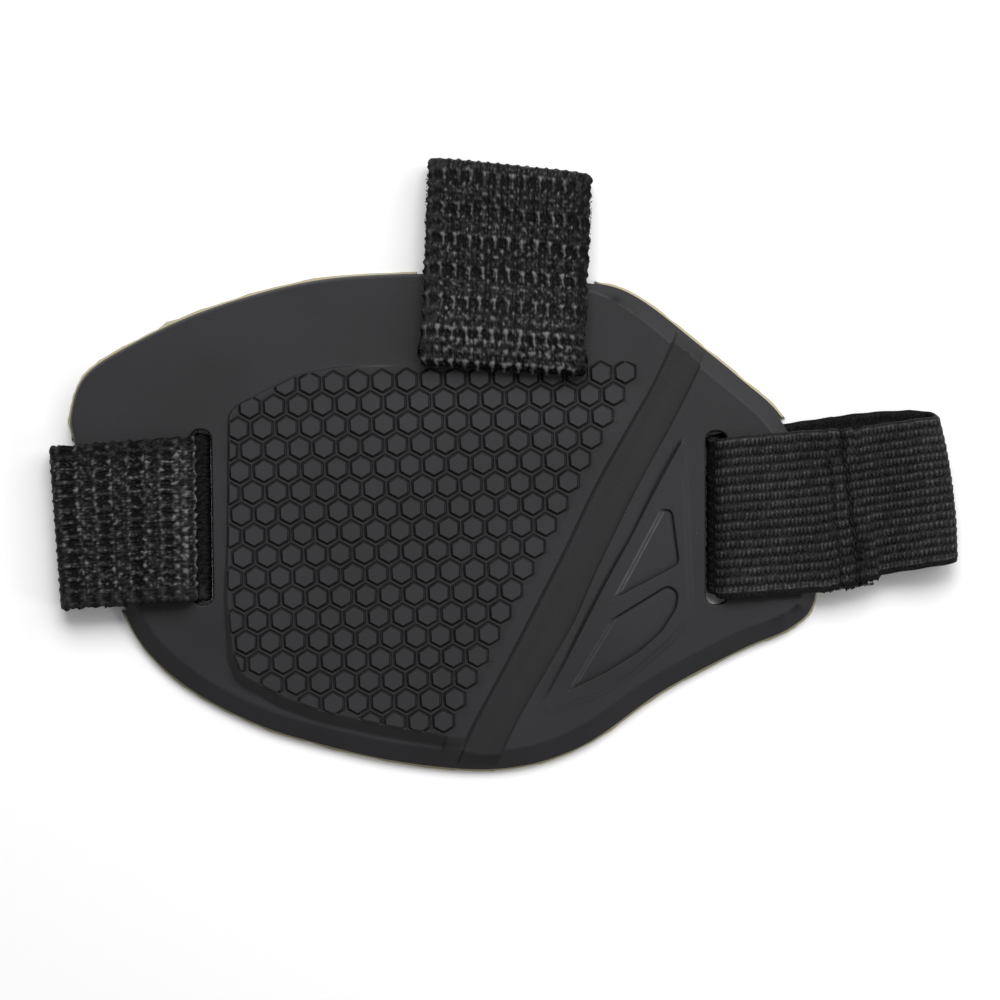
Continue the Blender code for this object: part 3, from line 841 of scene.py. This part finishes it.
# The pad's painted layers, in the order in which they cover each other, and their colours: painted shade in
# grooves, on slopes and on slot walls; pale paint that is a painted highlight on the windows' steps and
# makes the stud tops paler; the flash's pale raw edge.
RUBBER_LAYERS = (
    ("painted_shade", (0.0025, 0.0025, 0.003)),
    ("overlay", (0.15, 0.15, 0.16)),
    ("rim", (0.42, 0.38, 0.25)),
)


def set_inputs(tree, node, inputs):
    """Gives each input of a node a value, or a link from another node's socket."""
    for name, value in inputs.items():
        if isinstance(value, bpy.types.NodeSocket):
            tree.links.new(value, node.inputs[name])
        else:
            node.inputs[name].default_value = value


def add_node(tree, kind, inputs, **settings):
    node = tree.nodes.new("ShaderNode" + kind)
    for name, value in settings.items():
        setattr(node, name, value)
    set_inputs(tree, node, inputs)
    return node


def attribute(tree, name):
    return add_node(tree, "Attribute", {}, attribute_name=name)


def map_range(tree, value, start, end, low=0.0, high=1.0):
    """A value's run from start to end, turned into one from low to high."""
    inputs = {"Value": value, "From Min": start, "From Max": end, "To Min": low, "To Max": high}
    return add_node(tree, "MapRange", inputs).outputs["Result"]


def mix_colour(tree, share, below, above):
    """The colour that comes out below, covered by the share with another one."""
    inputs = {"Factor": share, "A": below, "B": (*above, 1.0)}
    return add_node(tree, "Mix", inputs, data_type="RGBA").outputs["Result"]


def colour_ramp(tree, value, stops):
    """A colour for each value; a stop is a value from 0 to 1 and the colour there."""
    node = add_node(tree, "ValToRGB", {"Fac": value})
    elements = node.color_ramp.elements
    for element, (place, colour) in zip(list(elements), (stops[0], stops[-1])):
        element.position = place
        element.color = (*colour, 1.0)
    for place, colour in stops[1:-1]:
        elements.new(place).color = (*colour, 1.0)
    return node.outputs["Color"]


def new_material(name):
    """A material, its node tree and its shader."""
    material = bpy.data.materials.new(name)
    material.use_nodes = True
    return material, material.node_tree, material.node_tree.nodes["Principled BSDF"]


def rubber_material():
    """Matte black moulded rubber with faint dust, painted shade in its grooves and slots, a painted
    highlight on the windows' steps, paler stud tops and a pale raw edge on the flash.
    """
    material, tree, shader = new_material("matte_rubber")
    place = add_node(tree, "TexCoord", {}).outputs["Object"]
    cloud = add_node(tree, "TexNoise", {"Vector": place, "Scale": 38.0, "Detail": 6.0}).outputs["Fac"]
    speck = add_node(tree, "TexVoronoi", {"Vector": place, "Scale": 260.0})
    near = map_range(tree, speck.outputs["Distance"], 0.07, 0.02)
    few = map_range(tree, speck.outputs["Color"], 0.86, 0.98)
    dust = add_node(tree, "Math", {0: near, 1: few}, operation="MULTIPLY").outputs["Value"]
    colour = mix_colour(tree, dust, colour_ramp(tree, cloud, RUBBER_TONES), DUST_COLOUR)
    for layer, paint in RUBBER_LAYERS:
        colour = mix_colour(tree, attribute(tree, layer).outputs["Fac"], colour, paint)
    pores = add_node(tree, "TexNoise", {"Vector": place, "Scale": 2600.0, "Detail": 3.0})
    bump = add_node(tree, "Bump", {
        "Height": pores.outputs["Fac"], "Strength": 0.18, "Distance": 0.0002,
    })
    set_inputs(tree, shader, {
        "Base Color": colour,
        "Metallic": 0.0,
        "Roughness": map_range(tree, cloud, 0.0, 1.0, 0.52, 0.66),
        "Specular IOR Level": 0.30,
        "Normal": bump.outputs["Normal"],
    })
    return material


def yarn_material(name, dark, light, stripe):
    """Black synthetic yarn with fine fibres: painted shade in its hollows and a painted highlight on the
    raised floats.
    """
    material, tree, shader = new_material(name)
    cloth = attribute(tree, "cloth").outputs["Vector"]
    raised = attribute(tree, "tone").outputs["Fac"]
    stretched = add_node(tree, "Mapping", {"Vector": cloth, "Scale": stripe}).outputs["Vector"]
    fibre = add_node(tree, "TexNoise", {
        "Vector": stretched, "Scale": 1.0, "Detail": 4.0, "Roughness": 0.65,
    }).outputs["Fac"]
    spread = map_range(tree, fibre, 0.35, 0.68, -0.14, 0.20)
    level = add_node(tree, "Math", {0: spread, 1: raised}, operation="ADD").outputs["Value"]
    middle = tuple(0.80 * d + 0.20 * l for d, l in zip(dark, light))
    bump = add_node(tree, "Bump", {"Height": fibre, "Strength": 0.5, "Distance": 0.00012})
    set_inputs(tree, shader, {
        "Base Color": colour_ramp(tree, level, ((0.0, dark), (0.4, middle), (1.0, light))),
        "Roughness": map_range(tree, raised, 0.0, 1.0, 0.62, 0.42),
        "Specular IOR Level": 0.05,
        "Normal": bump.outputs["Normal"],
    })
    return material


def thread_material(name, dark, light):
    """Twisted sewing thread or loose fibre, its colour broken by fine noise."""
    material, tree, shader = new_material(name)
    place = add_node(tree, "TexCoord", {}).outputs["Object"]
    noise = add_node(tree, "TexNoise", {"Vector": place, "Scale": 2400.0}).outputs["Fac"]
    set_inputs(tree, shader, {
        "Base Color": colour_ramp(tree, noise, ((0.35, dark), (0.7, light))),
        "Roughness": 0.55,
        "Specular IOR Level": 0.15,
    })
    return material


# ---------------------------------------------------------------- straps

def to_world(slot, u, v, z):
    """A point of a strap, out from its slot, across it and up, as a point of the row frame."""
    centre, out, along = slot_axes(slot)
    lean, reach = math.radians(slot["lean"]), slot["reach"]
    turn = math.radians(slot["turn"]) * np.clip(u / reach, 0.0, 1.0)
    near = np.minimum(u, reach)
    past = np.maximum(u - reach, 0.0)
    x = near + past * math.cos(lean) - v * np.sin(turn)
    y = near * math.tan(lean) + past * math.sin(lean) + v * np.cos(turn)
    xy = centre + x[..., None] * out + y[..., None] * along
    return np.concatenate([xy, z[..., None]], axis=-1) * MM


def strap_mesh(name, slot, path, closed, width, thickness, spacing, across, relief, shape):
    """A strap swept along its side view, its outer face carrying the relief of the weave.

    relief(s, v, length, u, z) gives height in mm and tone; shape(s, u, z) gives the shift
    across and the change of half the width in mm along the strap.
    """
    line, s, length = even_line(smooth_line(path, 12, closed), spacing, closed)
    line[:, 1] = np.maximum(line[:, 1], thickness / 2)
    normal = line_normals(line, closed)
    half = width / 2
    edge = thickness / 2
    outer_v = np.linspace(-(half - edge), half - edge, int(round((width - thickness) / across)) + 1)
    inner_v = np.linspace(half - edge, -(half - edge), int(round((width - thickness) / 0.8)) + 1)
    turns = np.radians(np.arange(1, 6) * 30.0)
    v_row = np.concatenate([
        outer_v, half - edge + edge * np.sin(turns), inner_v, -(half - edge) - edge * np.sin(turns),
    ])
    n_row = np.concatenate([
        np.full(len(outer_v), edge), edge * np.cos(turns), np.full(len(inner_v), -edge),
        -edge * np.cos(turns),
    ])
    s_grid, v_grid = np.meshgrid(s, v_row, indexing="ij")
    u_grid = np.broadcast_to(line[:, :1], s_grid.shape)
    z_grid = np.broadcast_to(line[:, 1:], s_grid.shape)
    shift, grow = shape(s_grid, u_grid, z_grid, np.sign(v_grid))
    height, tone = relief(s_grid, v_grid, length, u_grid, z_grid)
    # The inner face gets painted shade.
    tone = tone * np.where(n_row < 0, INNER_PAINTED_SHADE, 1.0)
    n_grid = n_row[None, :] + height * (n_row / edge)[None, :]
    v_out = v_grid * (1 + grow / half) + shift
    far = smoothstep((u_grid - slot["bow_from"]) / 9.0)
    bow = slot["bow"] * far * (1 - np.abs(v_grid / half) ** slot["bow_power"])
    u_out = u_grid + normal[:, :1] * n_grid + bow
    z_out = np.maximum(z_grid + normal[:, 1:] * n_grid, 0.0)
    world = to_world(slot, u_out, v_out, z_out)
    rows, columns = s_grid.shape
    index = np.arange(rows * columns).reshape(rows, columns)
    following = np.roll(index, -1, axis=1)
    last = rows if closed else rows - 1
    a, b = index[:last], following[:last]
    c, d = np.roll(following, -1, axis=0)[:last], np.roll(index, -1, axis=0)[:last]
    faces = np.stack([a, d, c, b], axis=-1).reshape(-1, 4)
    polygons = faces.tolist()
    if not closed:
        polygons += [index[0].tolist(), index[-1][::-1].tolist()]
    mesh = bpy.data.meshes.new(name)
    mesh.from_pydata(world.reshape(-1, 3).tolist(), [], polygons)
    cloth = np.stack([s_grid, v_grid, np.broadcast_to(n_row, s_grid.shape)], axis=-1) * MM
    fill_attribute(mesh, "cloth", "FLOAT_VECTOR", cloth)
    fill_attribute(mesh, "tone", "FLOAT", tone)
    mesh.polygons.foreach_set("use_smooth", [True] * len(mesh.polygons))
    return add_object(name, mesh)


def fill_attribute(mesh, name, kind, values):
    layer = mesh.attributes.new(name, kind, "POINT")
    field = "vector" if kind == "FLOAT_VECTOR" else "value"
    layer.data.foreach_set(field, np.ascontiguousarray(values, np.float32).ravel())


# How dark the strap's inner face is painted: painted shade inside the loops.
INNER_PAINTED_SHADE = 0.18
WEAVE_ACROSS = 3.17
WEAVE_ALONG = 7.32


def grain(s, v, seed):
    """Smooth unevenness of a few waves, from about -1 to 1."""
    total = np.zeros(np.broadcast(s, v).shape)
    rng = random.Random(seed)
    for _ in range(5):
        a, b = rng.uniform(-2.2, 2.2), rng.uniform(-2.2, 2.2)
        total += np.sin(a * s + b * v + rng.uniform(0, 6.3))
    return total / 3.0


def cell_noise(i, j, seed):
    """A fixed random number from 0 to 1 for each pair of whole numbers."""
    x = np.sin(i * 127.1 + j * 311.7 + seed * 74.7) * 43758.5453
    return x - np.floor(x)


def specks(s, v, pitch_s, pitch_v, share, seed):
    """Small bright bits of yarn, one in some of the cells of a loose grid."""
    i, j = np.round(s / pitch_s), np.round(v / pitch_v)
    off_s = s - i * pitch_s - (cell_noise(i, j, seed) - 0.5) * 0.5 * pitch_s
    off_v = v - j * pitch_v - (cell_noise(i, j, seed + 1) - 0.5) * 0.5 * pitch_v
    power = np.clip((cell_noise(i, j, seed + 2) - 1 + share) / share, 0.0, 1.0)
    return power * bump_at(off_s, 0.3 * pitch_s) * bump_at(off_v, 0.3 * pitch_v)


def spot(x, y, width, height):
    """1 at 0, 0, falling off smoothly all round."""
    return bump_at(x, width) * bump_at(y, height)


def slot_shade(u, z, rim):
    """Takes the brightness off the part of a strap that lies below the height of its slot's rim."""
    return 1 - 0.95 * smoothstep((rim - z) / 1.2) * smoothstep((4.0 - u) / 2.0)


def webbing_relief(row_u, loose_from, loose_to, busy):
    """Heavy woven webbing: rows of short raised floats with thin tails and hollows between, the floats with
    a painted highlight and the hollows with painted shade.

    One row of floats lies at row_u on the front. The weave opens up where the strap comes over
    the slot's rim, from one u to the other. Busy is how plainly the floats stand out.
    """
    def relief(s, v, length, u, z):
        front = z[:, 0] > 6.6
        row_s = np.interp(row_u, u[front, 0], s[front, 0])
        pitch = length / round(length / WEAVE_ALONG)
        along = (s - row_s) / pitch
        across = (v + 0.6) / WEAVE_ACROSS
        column, row = np.round(across), np.round(along)

        # the floats: a head and a thin stem each, with hollows between the stems
        x = (across - column) * WEAVE_ACROSS + 0.5 * (cell_noise(column, row, 1.0) - 0.5)
        y = (along - row) * pitch + 0.6 * (cell_noise(column, row, 2.0) - 0.5)
        strength = 0.75 + 0.35 * cell_noise(column, row, 3.0)
        head = spot(x, y, 0.5, 0.42) * strength
        stem = bump_at(x + 0.1, 0.24) * smoothstep((y + 2.9) / 0.6) * smoothstep(-(y + 0.1) / 0.4)
        stem = stem * strength
        down = y + 1.55
        hollow = smoothstep((np.abs(x) - 0.35) / 0.4) * smoothstep((1.75 - np.abs(down)) / 0.7)

        # the turns of yarn between two rows of floats
        half_row = np.round(along - 0.5)
        y_half = (along - 0.5 - half_row) * pitch
        x_half = (across - 0.5 - np.round(across - 0.5)) * WEAVE_ACROSS
        x_whole = (across - column) * WEAVE_ACROSS
        curl = 0.55 + 0.6 * cell_noise(np.round(across * 2), half_row, 4.0)
        blob = curl * np.maximum(
            spot(x_half, y_half - 0.9, 0.42, 0.40), spot(x_whole, y_half + 0.7, 0.42, 0.40))
        bracket = spot(np.abs(down) - 1.95, WEAVE_ACROSS / 2 - np.abs(x), 0.38, 0.7)
        bracket = bracket * (0.4 + 0.8 * cell_noise(np.round(across - 0.5), row + (down > 0), 6.0))

        # loose fibres and, where the weave opens up, knobs of yarn
        fuzzy = smoothstep((u - loose_from) / (loose_to - loose_from)) * (z > 3.0)
        bits = specks(s, v, 0.95, 0.72, 0.65 + 0.2 * fuzzy, 7.0)
        flecks = specks(s + 0.2 * v, v, 1.5, 1.05, 0.45, 11.0)
        third = np.round(along * 3)
        y_third = (along * 3 - third) * pitch / 3
        across_knobs = across * 1.6 - 0.5 * (third % 2)
        knob_column = np.round(across_knobs)
        x_knob = (across_knobs - knob_column) * WEAVE_ACROSS / 1.6
        knob = fuzzy * spot(x_knob, y_third, 0.55, 0.50)
        knob = knob * (0.4 + 0.8 * cell_noise(knob_column, third, 8.0))

        plain = busy * (1 - 0.4 * smoothstep((u - 31.0) / 3.0))
        rough = grain(s * 1.4, v * 1.6, 5)
        yarns = 0.5 + 0.5 * np.cos(2 * math.pi * v / 1.057)
        height = (0.22 * head + 0.15 * stem - 0.24 * hollow + 0.15 * blob + 0.10 * bits
                  + 0.22 * knob + 0.06 * yarns + 0.05 * rough + 0.12 * (1 - busy) * bracket - 0.08)
        at_fold = smoothstep((u - u.max() + 1.2) / 0.8)
        height = height + 0.25 * at_fold * np.maximum(np.sin(2 * math.pi * v / 2.3), 0.0)
        # Tone: a painted highlight on the floats, their stems, the turns between rows and the knobs, and
        # painted shade in the hollows.
        tone = (plain * (1.1 * head + 0.65 * stem) + (1 - busy) * bracket + 0.75 * blob
                + 0.85 * knob + 0.70 * bits + 0.6 * flecks - 0.22 * hollow
                + 0.10 * (yarns - 0.5) + 0.08 * rough + 0.05)
        tone = tone * slot_shade(u, z, 4.9)

        left_rim = smoothstep((v - 15.4) / 0.8)
        right_rim = smoothstep((-v - 15.2) / 1.6)
        turns = 0.5 + 0.5 * np.sin(2 * math.pi * along * 2.0 + 0.4 * v)
        height = height * (1 - 0.6 * left_rim - 0.4 * right_rim) + 0.22 * left_rim * (turns - 0.5)
        tone = tone * (1 - 0.55 * left_rim - 0.4 * right_rim) + 0.16 * left_rim * turns
        return height, np.clip(tone, 0.0, 1.4)
    return relief


def webbing_edge(seed, fill_low, fill_high):
    """Uneven edges of the webbing, wider and narrower where the weft turns back.

    In its slot each edge is wider by its own amount, in mm, to fill the slot's end.
    """
    def shape(s, u, z, side):
        nubs = np.maximum(np.sin(2 * math.pi * s / 3.73 + seed + side), 0.0) ** 2
        waver = 0.16 * np.sin(s * 0.41 + seed * side) + 0.10 * np.sin(s * 3.1 + side)
        in_slot = bump_at(u - 0.6, 3.0) * (z < 3.6)
        over_rim = bump_at(u - 0.2, 2.6) * smoothstep((z - 4.6) / 0.8)
        fill = np.where(side > 0, fill_high, fill_low)
        grow = 0.36 * nubs + waver - 0.12 + 0.25 * over_rim + fill * in_slot
        return 0.12 * np.sin(s * 0.37 + seed), grow
    return shape


RIB = 2.06
STROKE = 0.97
SEAM_ROWS = (27.2, 31.0)
# Dark knots of thread on the seam: distance out and across.
SEAM_KNOTS = ((27.0, 9.5), (27.4, 5.0), (30.4, 12.6), (30.6, 15.6))


def seam_wander(v, number):
    """How far one of the elastic's rows of stitches strays along the strap."""
    return 0.013 * v + 0.25 * np.sin(v * 0.9 + number) + 0.15 * np.sin(v * 2.3)


def elastic_relief(s, v, length, u, z):
    """Knitted elastic: ribs along it, each a row of short slanting loops, and plain selvages."""
    across = v / RIB
    rib = np.round(across)
    along = s / STROKE + 0.5 * rib + 0.3 * np.sin(rib * 2.3) + 0.12 * np.sin(s * 0.6 + rib)
    loop = np.round(along)
    x = (along - loop) * STROKE + 0.16 * (cell_noise(loop, rib, 1.0) - 0.5)
    y = (across - rib) * RIB + 0.2 * (cell_noise(loop, rib, 3.0) - 0.5)
    strength = 0.35 + 0.9 * cell_noise(loop, rib, 2.0)
    arch = x - 0.10 * y + 0.08 * (0.7 - y) ** 2 * np.sign(x)
    body = bump_at(arch, 0.22) * smoothstep((1.05 - np.abs(y)) / 0.5)
    top = spot(x, y - 0.55, 0.26, 0.26)
    groove = bump_at(np.abs(y) - RIB / 2, 0.26)
    notch = bump_at(y + 0.62 + 0.3 * np.cos(2 * math.pi * x / STROKE), 0.30)
    notch = notch * (0.45 + 0.7 * cell_noise(loop, rib, 5.0))
    bits = specks(s, v, 0.5, 0.5, 0.3, 3.0)
    height = 0.10 * body * strength + 0.07 * top * strength - 0.04 * groove - 0.12 * notch + 0.02
    # Tone: a painted highlight on the loops' bodies and tops and painted shade in the notches.
    tone = 0.23 + 0.27 * body * strength + 0.22 * top * strength - 0.34 * notch + 0.40 * bits
    tone = tone * slot_shade(u, z, 4.6)
    tone = tone + 0.05 * grain(s * 0.5, v * 0.5, 9)
    gap = ELASTIC_WIDTH / 2 - np.abs(v)
    band = np.where(v > 0, 0.8, 1.5)
    plain = smoothstep((band - gap) / 0.3)
    line = bump_at(gap - band, 0.18) * (0.7 + 0.3 * np.sin(s * 2.1))
    height = height * (1 - plain) + 0.12 * line
    tone = tone * (1 - plain) + 0.10 * plain + 0.42 * line + 0.16 * bump_at(gap, 0.3)

    in_front = smoothstep((z - 4.0) / 0.8)
    for number, seam_u in enumerate(SEAM_ROWS):
        off = u - seam_u - seam_wander(v, number)
        pucker = 0.6 + 0.4 * np.cos(2 * math.pi * v / 2.6 + number)
        line = bump_at(off, 0.42 + 0.16 * number) * (pucker if number == 0 else 1.0) * in_front
        height = height - 0.24 * line + 0.05 * bump_at(np.abs(off) - 0.9, 0.4) * in_front
        tone = tone * (1 - (0.6 + 0.35 * number) * np.clip(line, 0.0, 1.0))
    # A worn patch: darker, rougher and with bright bits.
    overlay = spot(u - 31.9, v + 11.5, 1.6, 4.5) * in_front
    knots = sum(spot(u - at_u, v - at_v, 0.75, 1.1) for at_u, at_v in SEAM_KNOTS) * in_front
    tone = tone * (1 - 0.7 * overlay) * (1 - 0.95 * np.clip(knots, 0, 1)) + 0.3 * bits * overlay
    height = height + 0.12 * overlay * grain(s * 2.2, v * 2.4, 4) - 0.15 * knots
    return height, np.clip(tone, 0.0, 1.3)


def elastic_shape(s, u, z, side):
    """The elastic runs askew: its front sags a little and its back lies higher up the pad."""
    front = curve(u, (0, -0.3), (2.5, -0.4), (12, -0.95), (21.6, -1.4), (29, -1.2), (35, -0.8), (54, -0.5))
    back = curve(u, (0, 1.2), (8, 1.7), (35, 1.9), (48, 1.5), (54, 0.6))
    share = smoothstep((z - 1.6) / 3.4)
    wide = curve(u, (0, 0.6), (2.5, 0.8), (12, 0.9), (21.6, 0.95), (29, 0.3), (34, -0.5), (54, -0.75))
    back_wide = curve(u, (0, 0.3), (3, 0.3), (10, 0.0), (40, 0.0), (54, -0.75))
    grow = wide * share + back_wide * (1 - share)
    pinch = sum(bump_at(u - seam_u, 0.7) for seam_u in SEAM_ROWS) * (z > 6.2)
    grow = grow - 0.35 * pinch + 0.06 * np.sin(s * 0.9 + side)
    raw = smoothstep((u - 21.0) / 3.0) * smoothstep((35.0 - u) / 1.0) * (z > 5.6) * (side < 0)
    grow = grow + raw * (0.5 + 0.35 * np.sin(s * 7.0) * np.sin(s * 2.9 + 1.0))
    return front * share + back * (1 - share), grow


def lap_shape(s, u, z, side):
    """The lap's raw end hangs out a little below the seam, with a ragged edge."""
    shift, grow = elastic_shape(s, u, z, side)
    raw = smoothstep((36.5 - u) / 1.2) * (z > 4.0)
    ragged = 0.35 * np.sin(s * 7.0) * np.sin(s * 2.9 + 1.0)
    return shift, grow + raw * np.where(side < 0, 1.1 + ragged, -0.5)


def make_straps():
    webbing = yarn_material(
        "woven_webbing", (0.0015, 0.0015, 0.0016), (0.13, 0.13, 0.132), (900.0, 5200.0, 900.0))
    elastic = yarn_material(
        "knitted_elastic", (0.0018, 0.0018, 0.0019), (0.095, 0.095, 0.098), (2600.0, 2600.0, 900.0))
    left = strap_mesh(
        "left_webbing_loop", LEFT, LEFT_PATH, True, WEBBING_WIDTH, WEBBING, 0.26, 0.2,
        webbing_relief(16.2, 12.0, 2.0, 0.4), webbing_edge(1.0, 0.3, 0.8))
    top = strap_mesh(
        "top_webbing_loop", TOP, TOP_PATH, False, WEBBING_WIDTH, WEBBING, 0.28, 0.22,
        webbing_relief(34.4, 12.0, 3.0, 1.0), webbing_edge(2.0, 0.0, 0.0))
    root = strap_mesh(
        "elastic_loop_near_part", RIGHT, ELASTIC_ROOT_PATH, False, ELASTIC_WIDTH, ELASTIC, 0.2, 0.22,
        elastic_relief, elastic_shape)
    tip = strap_mesh(
        "elastic_loop_far_part", RIGHT, ELASTIC_TIP_PATH, False, ELASTIC_WIDTH, ELASTIC, 0.2, 0.22,
        elastic_relief, lap_shape)
    for item, material, slot_name in (
        (left, webbing, "strap_webbing"), (top, webbing, "strap_webbing"),
        (root, elastic, "strap_elastic"), (tip, elastic, "strap_elastic"),
    ):
        item.data.materials.append(material)

    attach(left, "left_loop_body")
    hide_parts("left_loop")
    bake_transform(top, "top_loop_root_body", "top_loop_tip_body",
             strap_point(TOP, 19.4), strap_point(TOP, 25.2))
    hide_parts("top_loop_root", "top_loop_tip", "top_loop_lap")
    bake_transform(root, "elastic_root_body", "elastic_middle_body",
             strap_point(RIGHT, 23.0), strap_point(RIGHT, 27.2))
    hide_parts("elastic_loop_root", "elastic_loop_seam")
    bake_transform(tip, "elastic_middle_body", "elastic_tip_body",
             strap_point(RIGHT, 36.8), strap_point(RIGHT, 48.0))
    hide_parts("elastic_loop_lap", "elastic_loop_back", "elastic_loop_tip")


def strap_point(slot, u):
    """The point on a strap's middle line at this distance out from its slot."""
    return tuple(to_world(slot, np.array(u), np.array(0.0), np.array(3.5)))


# ---------------------------------------------------------------- threads and loose fibres

# Each row: its name, the node it stands for, slot, body, distance out, height and share sewn.
STITCH_ROWS = (
    ("elastic_stitches_1", "elastic_stitch_row_1", RIGHT, "elastic_middle_body", SEAM_ROWS[0], 7.45, 0.6),
    ("elastic_stitches_2", "elastic_stitch_row_2", RIGHT, "elastic_middle_body", SEAM_ROWS[1], 7.6, 1.0),
    ("top_lap_stitches_1", "top_stitch_row_1", TOP, "top_loop_tip_body", 26.7, 3.85, 1.0),
    ("top_lap_stitches_2", "top_stitch_row_2", TOP, "top_loop_tip_body", 30.9, 3.95, 1.0),
)
STITCH_PITCH = 2.6
STITCH_LENGTH = 2.1
THREAD = 0.32
FIBRE = 0.08


def thread_mesh(name, lines, radius):
    """Round threads along lines of points in metres, thinner towards their ends, in one mesh."""
    turns = np.linspace(0.0, 2 * math.pi, 7)[:-1]
    mesh = bmesh.new()
    for line in lines:
        along = np.gradient(line, axis=0)
        side = np.cross(along, (0.0, 0.0, 1.0))
        side /= np.linalg.norm(side, axis=1)[:, None]
        up = np.cross(side, along)
        up /= np.linalg.norm(up, axis=1)[:, None]
        share = np.linspace(0.0, 1.0, len(line))
        sizes = radius * MM * (0.4 + 0.6 * np.sqrt(np.sin(math.pi * share)))
        rings = []
        for place, a, b, size in zip(line, side, up, sizes):
            round_points = [place + size * (math.cos(t) * a + math.sin(t) * b) for t in turns]
            rings.append([mesh.verts.new(tuple(point)) for point in round_points])
        for ring, following in zip(rings, rings[1:]):
            bridge(mesh, ring, following)
        mesh.faces.new(rings[0])
        mesh.faces.new(rings[-1])
    item = add_bmesh(name, mesh)
    item.data.polygons.foreach_set("use_smooth", [True] * len(item.data.polygons))
    return item


def make_stitches():
    thread = thread_material("sewing_thread", (0.002, 0.002, 0.002), (0.012, 0.012, 0.013))
    for number, (name, node, slot, body, row_u, height, sewn) in enumerate(STITCH_ROWS):
        lines = []
        for k, v in enumerate(np.arange(-16.9, 17.0, STITCH_PITCH)):
            if float(cell_noise(k, number, 5.0)) > sewn:
                continue
            share = np.linspace(-0.5, 0.5, 7)
            v_line = v + share * STITCH_LENGTH
            u_line = row_u + seam_wander(v_line, number)
            z_line = height + 0.14 * np.cos(math.pi * share)
            shift = -1.2 if slot is RIGHT else 0.0
            lines.append(to_world(slot, u_line, v_line + shift, z_line))
        row = thread_mesh(name, lines, THREAD)
        row.data.materials.append(thread)
        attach(row, body)
        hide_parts(node)


def loose_fibres(name, slot, edge_v, u_range, z_range, count, length):
    """Short bent fibres that stand out from one edge of a strap."""
    rng = random.Random(count)
    side = 1.0 if edge_v > 0 else -1.0
    t = np.linspace(0.0, 1.0, 6)
    lines = []
    for _ in range(count):
        reach = rng.uniform(0.35, 1.0) * length
        lean, curl = rng.uniform(-0.8, 0.8), rng.uniform(-0.6, 0.6)
        u_line = rng.uniform(*u_range) + reach * (lean * t + curl * t * t)
        v_line = edge_v + side * reach * (t - 0.35 * t * t)
        z_line = rng.uniform(*z_range) - 0.3 * reach * t * t
        lines.append(to_world(slot, u_line, v_line, z_line))
    return thread_mesh(name, lines, FIBRE)


# Each group: its name, body, material slot, slot, edge across, range out, range up, count, length.
FIBRES = (
    ("elastic_frayed_edge", "elastic_middle_body", "strap_elastic",
     RIGHT, -19.8, (24.5, 34.4), (4.9, 6.9), 130, 1.1),
    ("top_left_fuzz_near", "top_loop_root_body", "strap_webbing",
     TOP, 19.0, (-1.0, 17.0), (7.6, 9.2), 50, 0.9),
    ("top_left_fuzz_far", "top_loop_tip_body", "strap_webbing",
     TOP, 19.0, (27.0, 41.0), (6.4, 7.4), 36, 1.1),
    ("top_right_fuzz", "top_loop_tip_body", "strap_webbing",
     TOP, -19.0, (27.0, 40.0), (6.4, 7.4), 26, 1.0),
)


def make_fibres():
    fibre = thread_material("loose_fibre", (0.006, 0.006, 0.006), (0.05, 0.05, 0.05))
    for name, body, slot_name, *where in FIBRES:
        item = loose_fibres(name, *where)
        item.data.materials.append(fibre)
        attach(item, body)


# ---------------------------------------------------------------- stage, light and camera

FLOOR_HALF = 1.5
FLOOR_GAP = 0.0002
CAMERA_HEIGHT = 0.903
SENSOR_WIDTH = 36.0
LENS = 137.9


def make_stage():
    """A wide white floor just under the pad's back."""
    mesh = bpy.data.meshes.new("floor")
    signs = ((-1, -1), (1, -1), (1, 1), (-1, 1))
    corners = [(x * FLOOR_HALF, y * FLOOR_HALF, 0) for x, y in signs]
    mesh.from_pydata(corners, [], [(0, 1, 2, 3)])
    floor = add_object("floor", mesh)
    floor.location.z = -FLOOR_GAP
    material, tree, shader = new_material("white_floor")
    set_inputs(tree, shader, {"Base Color": (0.90, 0.90, 0.90, 1.0), "Roughness": 0.9})
    mesh.materials.append(material)


def area_light(name, place, size, power):
    """A rectangular light that shines at the origin."""
    light = bpy.data.lights.new(name, "AREA")
    light.shape = "RECTANGLE"
    light.size, light.size_y = size
    light.energy = power
    item = add_object(name, light)
    item.location = place
    item.rotation_euler = (-Vector(place)).to_track_quat("-Z", "Y").to_euler()


def make_lights():
    world = bpy.data.worlds.new("studio")
    bpy.context.scene.world = world
    world.use_nodes = True
    sky = {"Color": (1.0, 1.0, 1.0, 1.0), "Strength": 0.30}
    set_inputs(world.node_tree, world.node_tree.nodes["Background"], sky)
    area_light("key", (0.80, 0.52, 0.78), (0.7, 0.7), 4.8)
    area_light("softbox", (0.05, 0.85, 1.05), (1.0, 0.8), 17.5)
    area_light("edge_light", (1.0, -0.35, 0.62), (0.3, 0.3), 2.6)


def make_camera():
    """Straight above the pad, looking down."""
    data = bpy.data.cameras.new("camera")
    data.sensor_width = SENSOR_WIDTH
    data.lens = LENS
    camera = add_object("camera", data)
    camera.location.z = CAMERA_HEIGHT
    bpy.context.scene.camera = camera


def main():
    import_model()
    bpy.context.scene.view_settings.view_transform = "Standard"
    make_stage()
    make_lights()
    make_camera()
    make_pad()
    make_straps()
    make_stitches()
    make_fibres()


main()
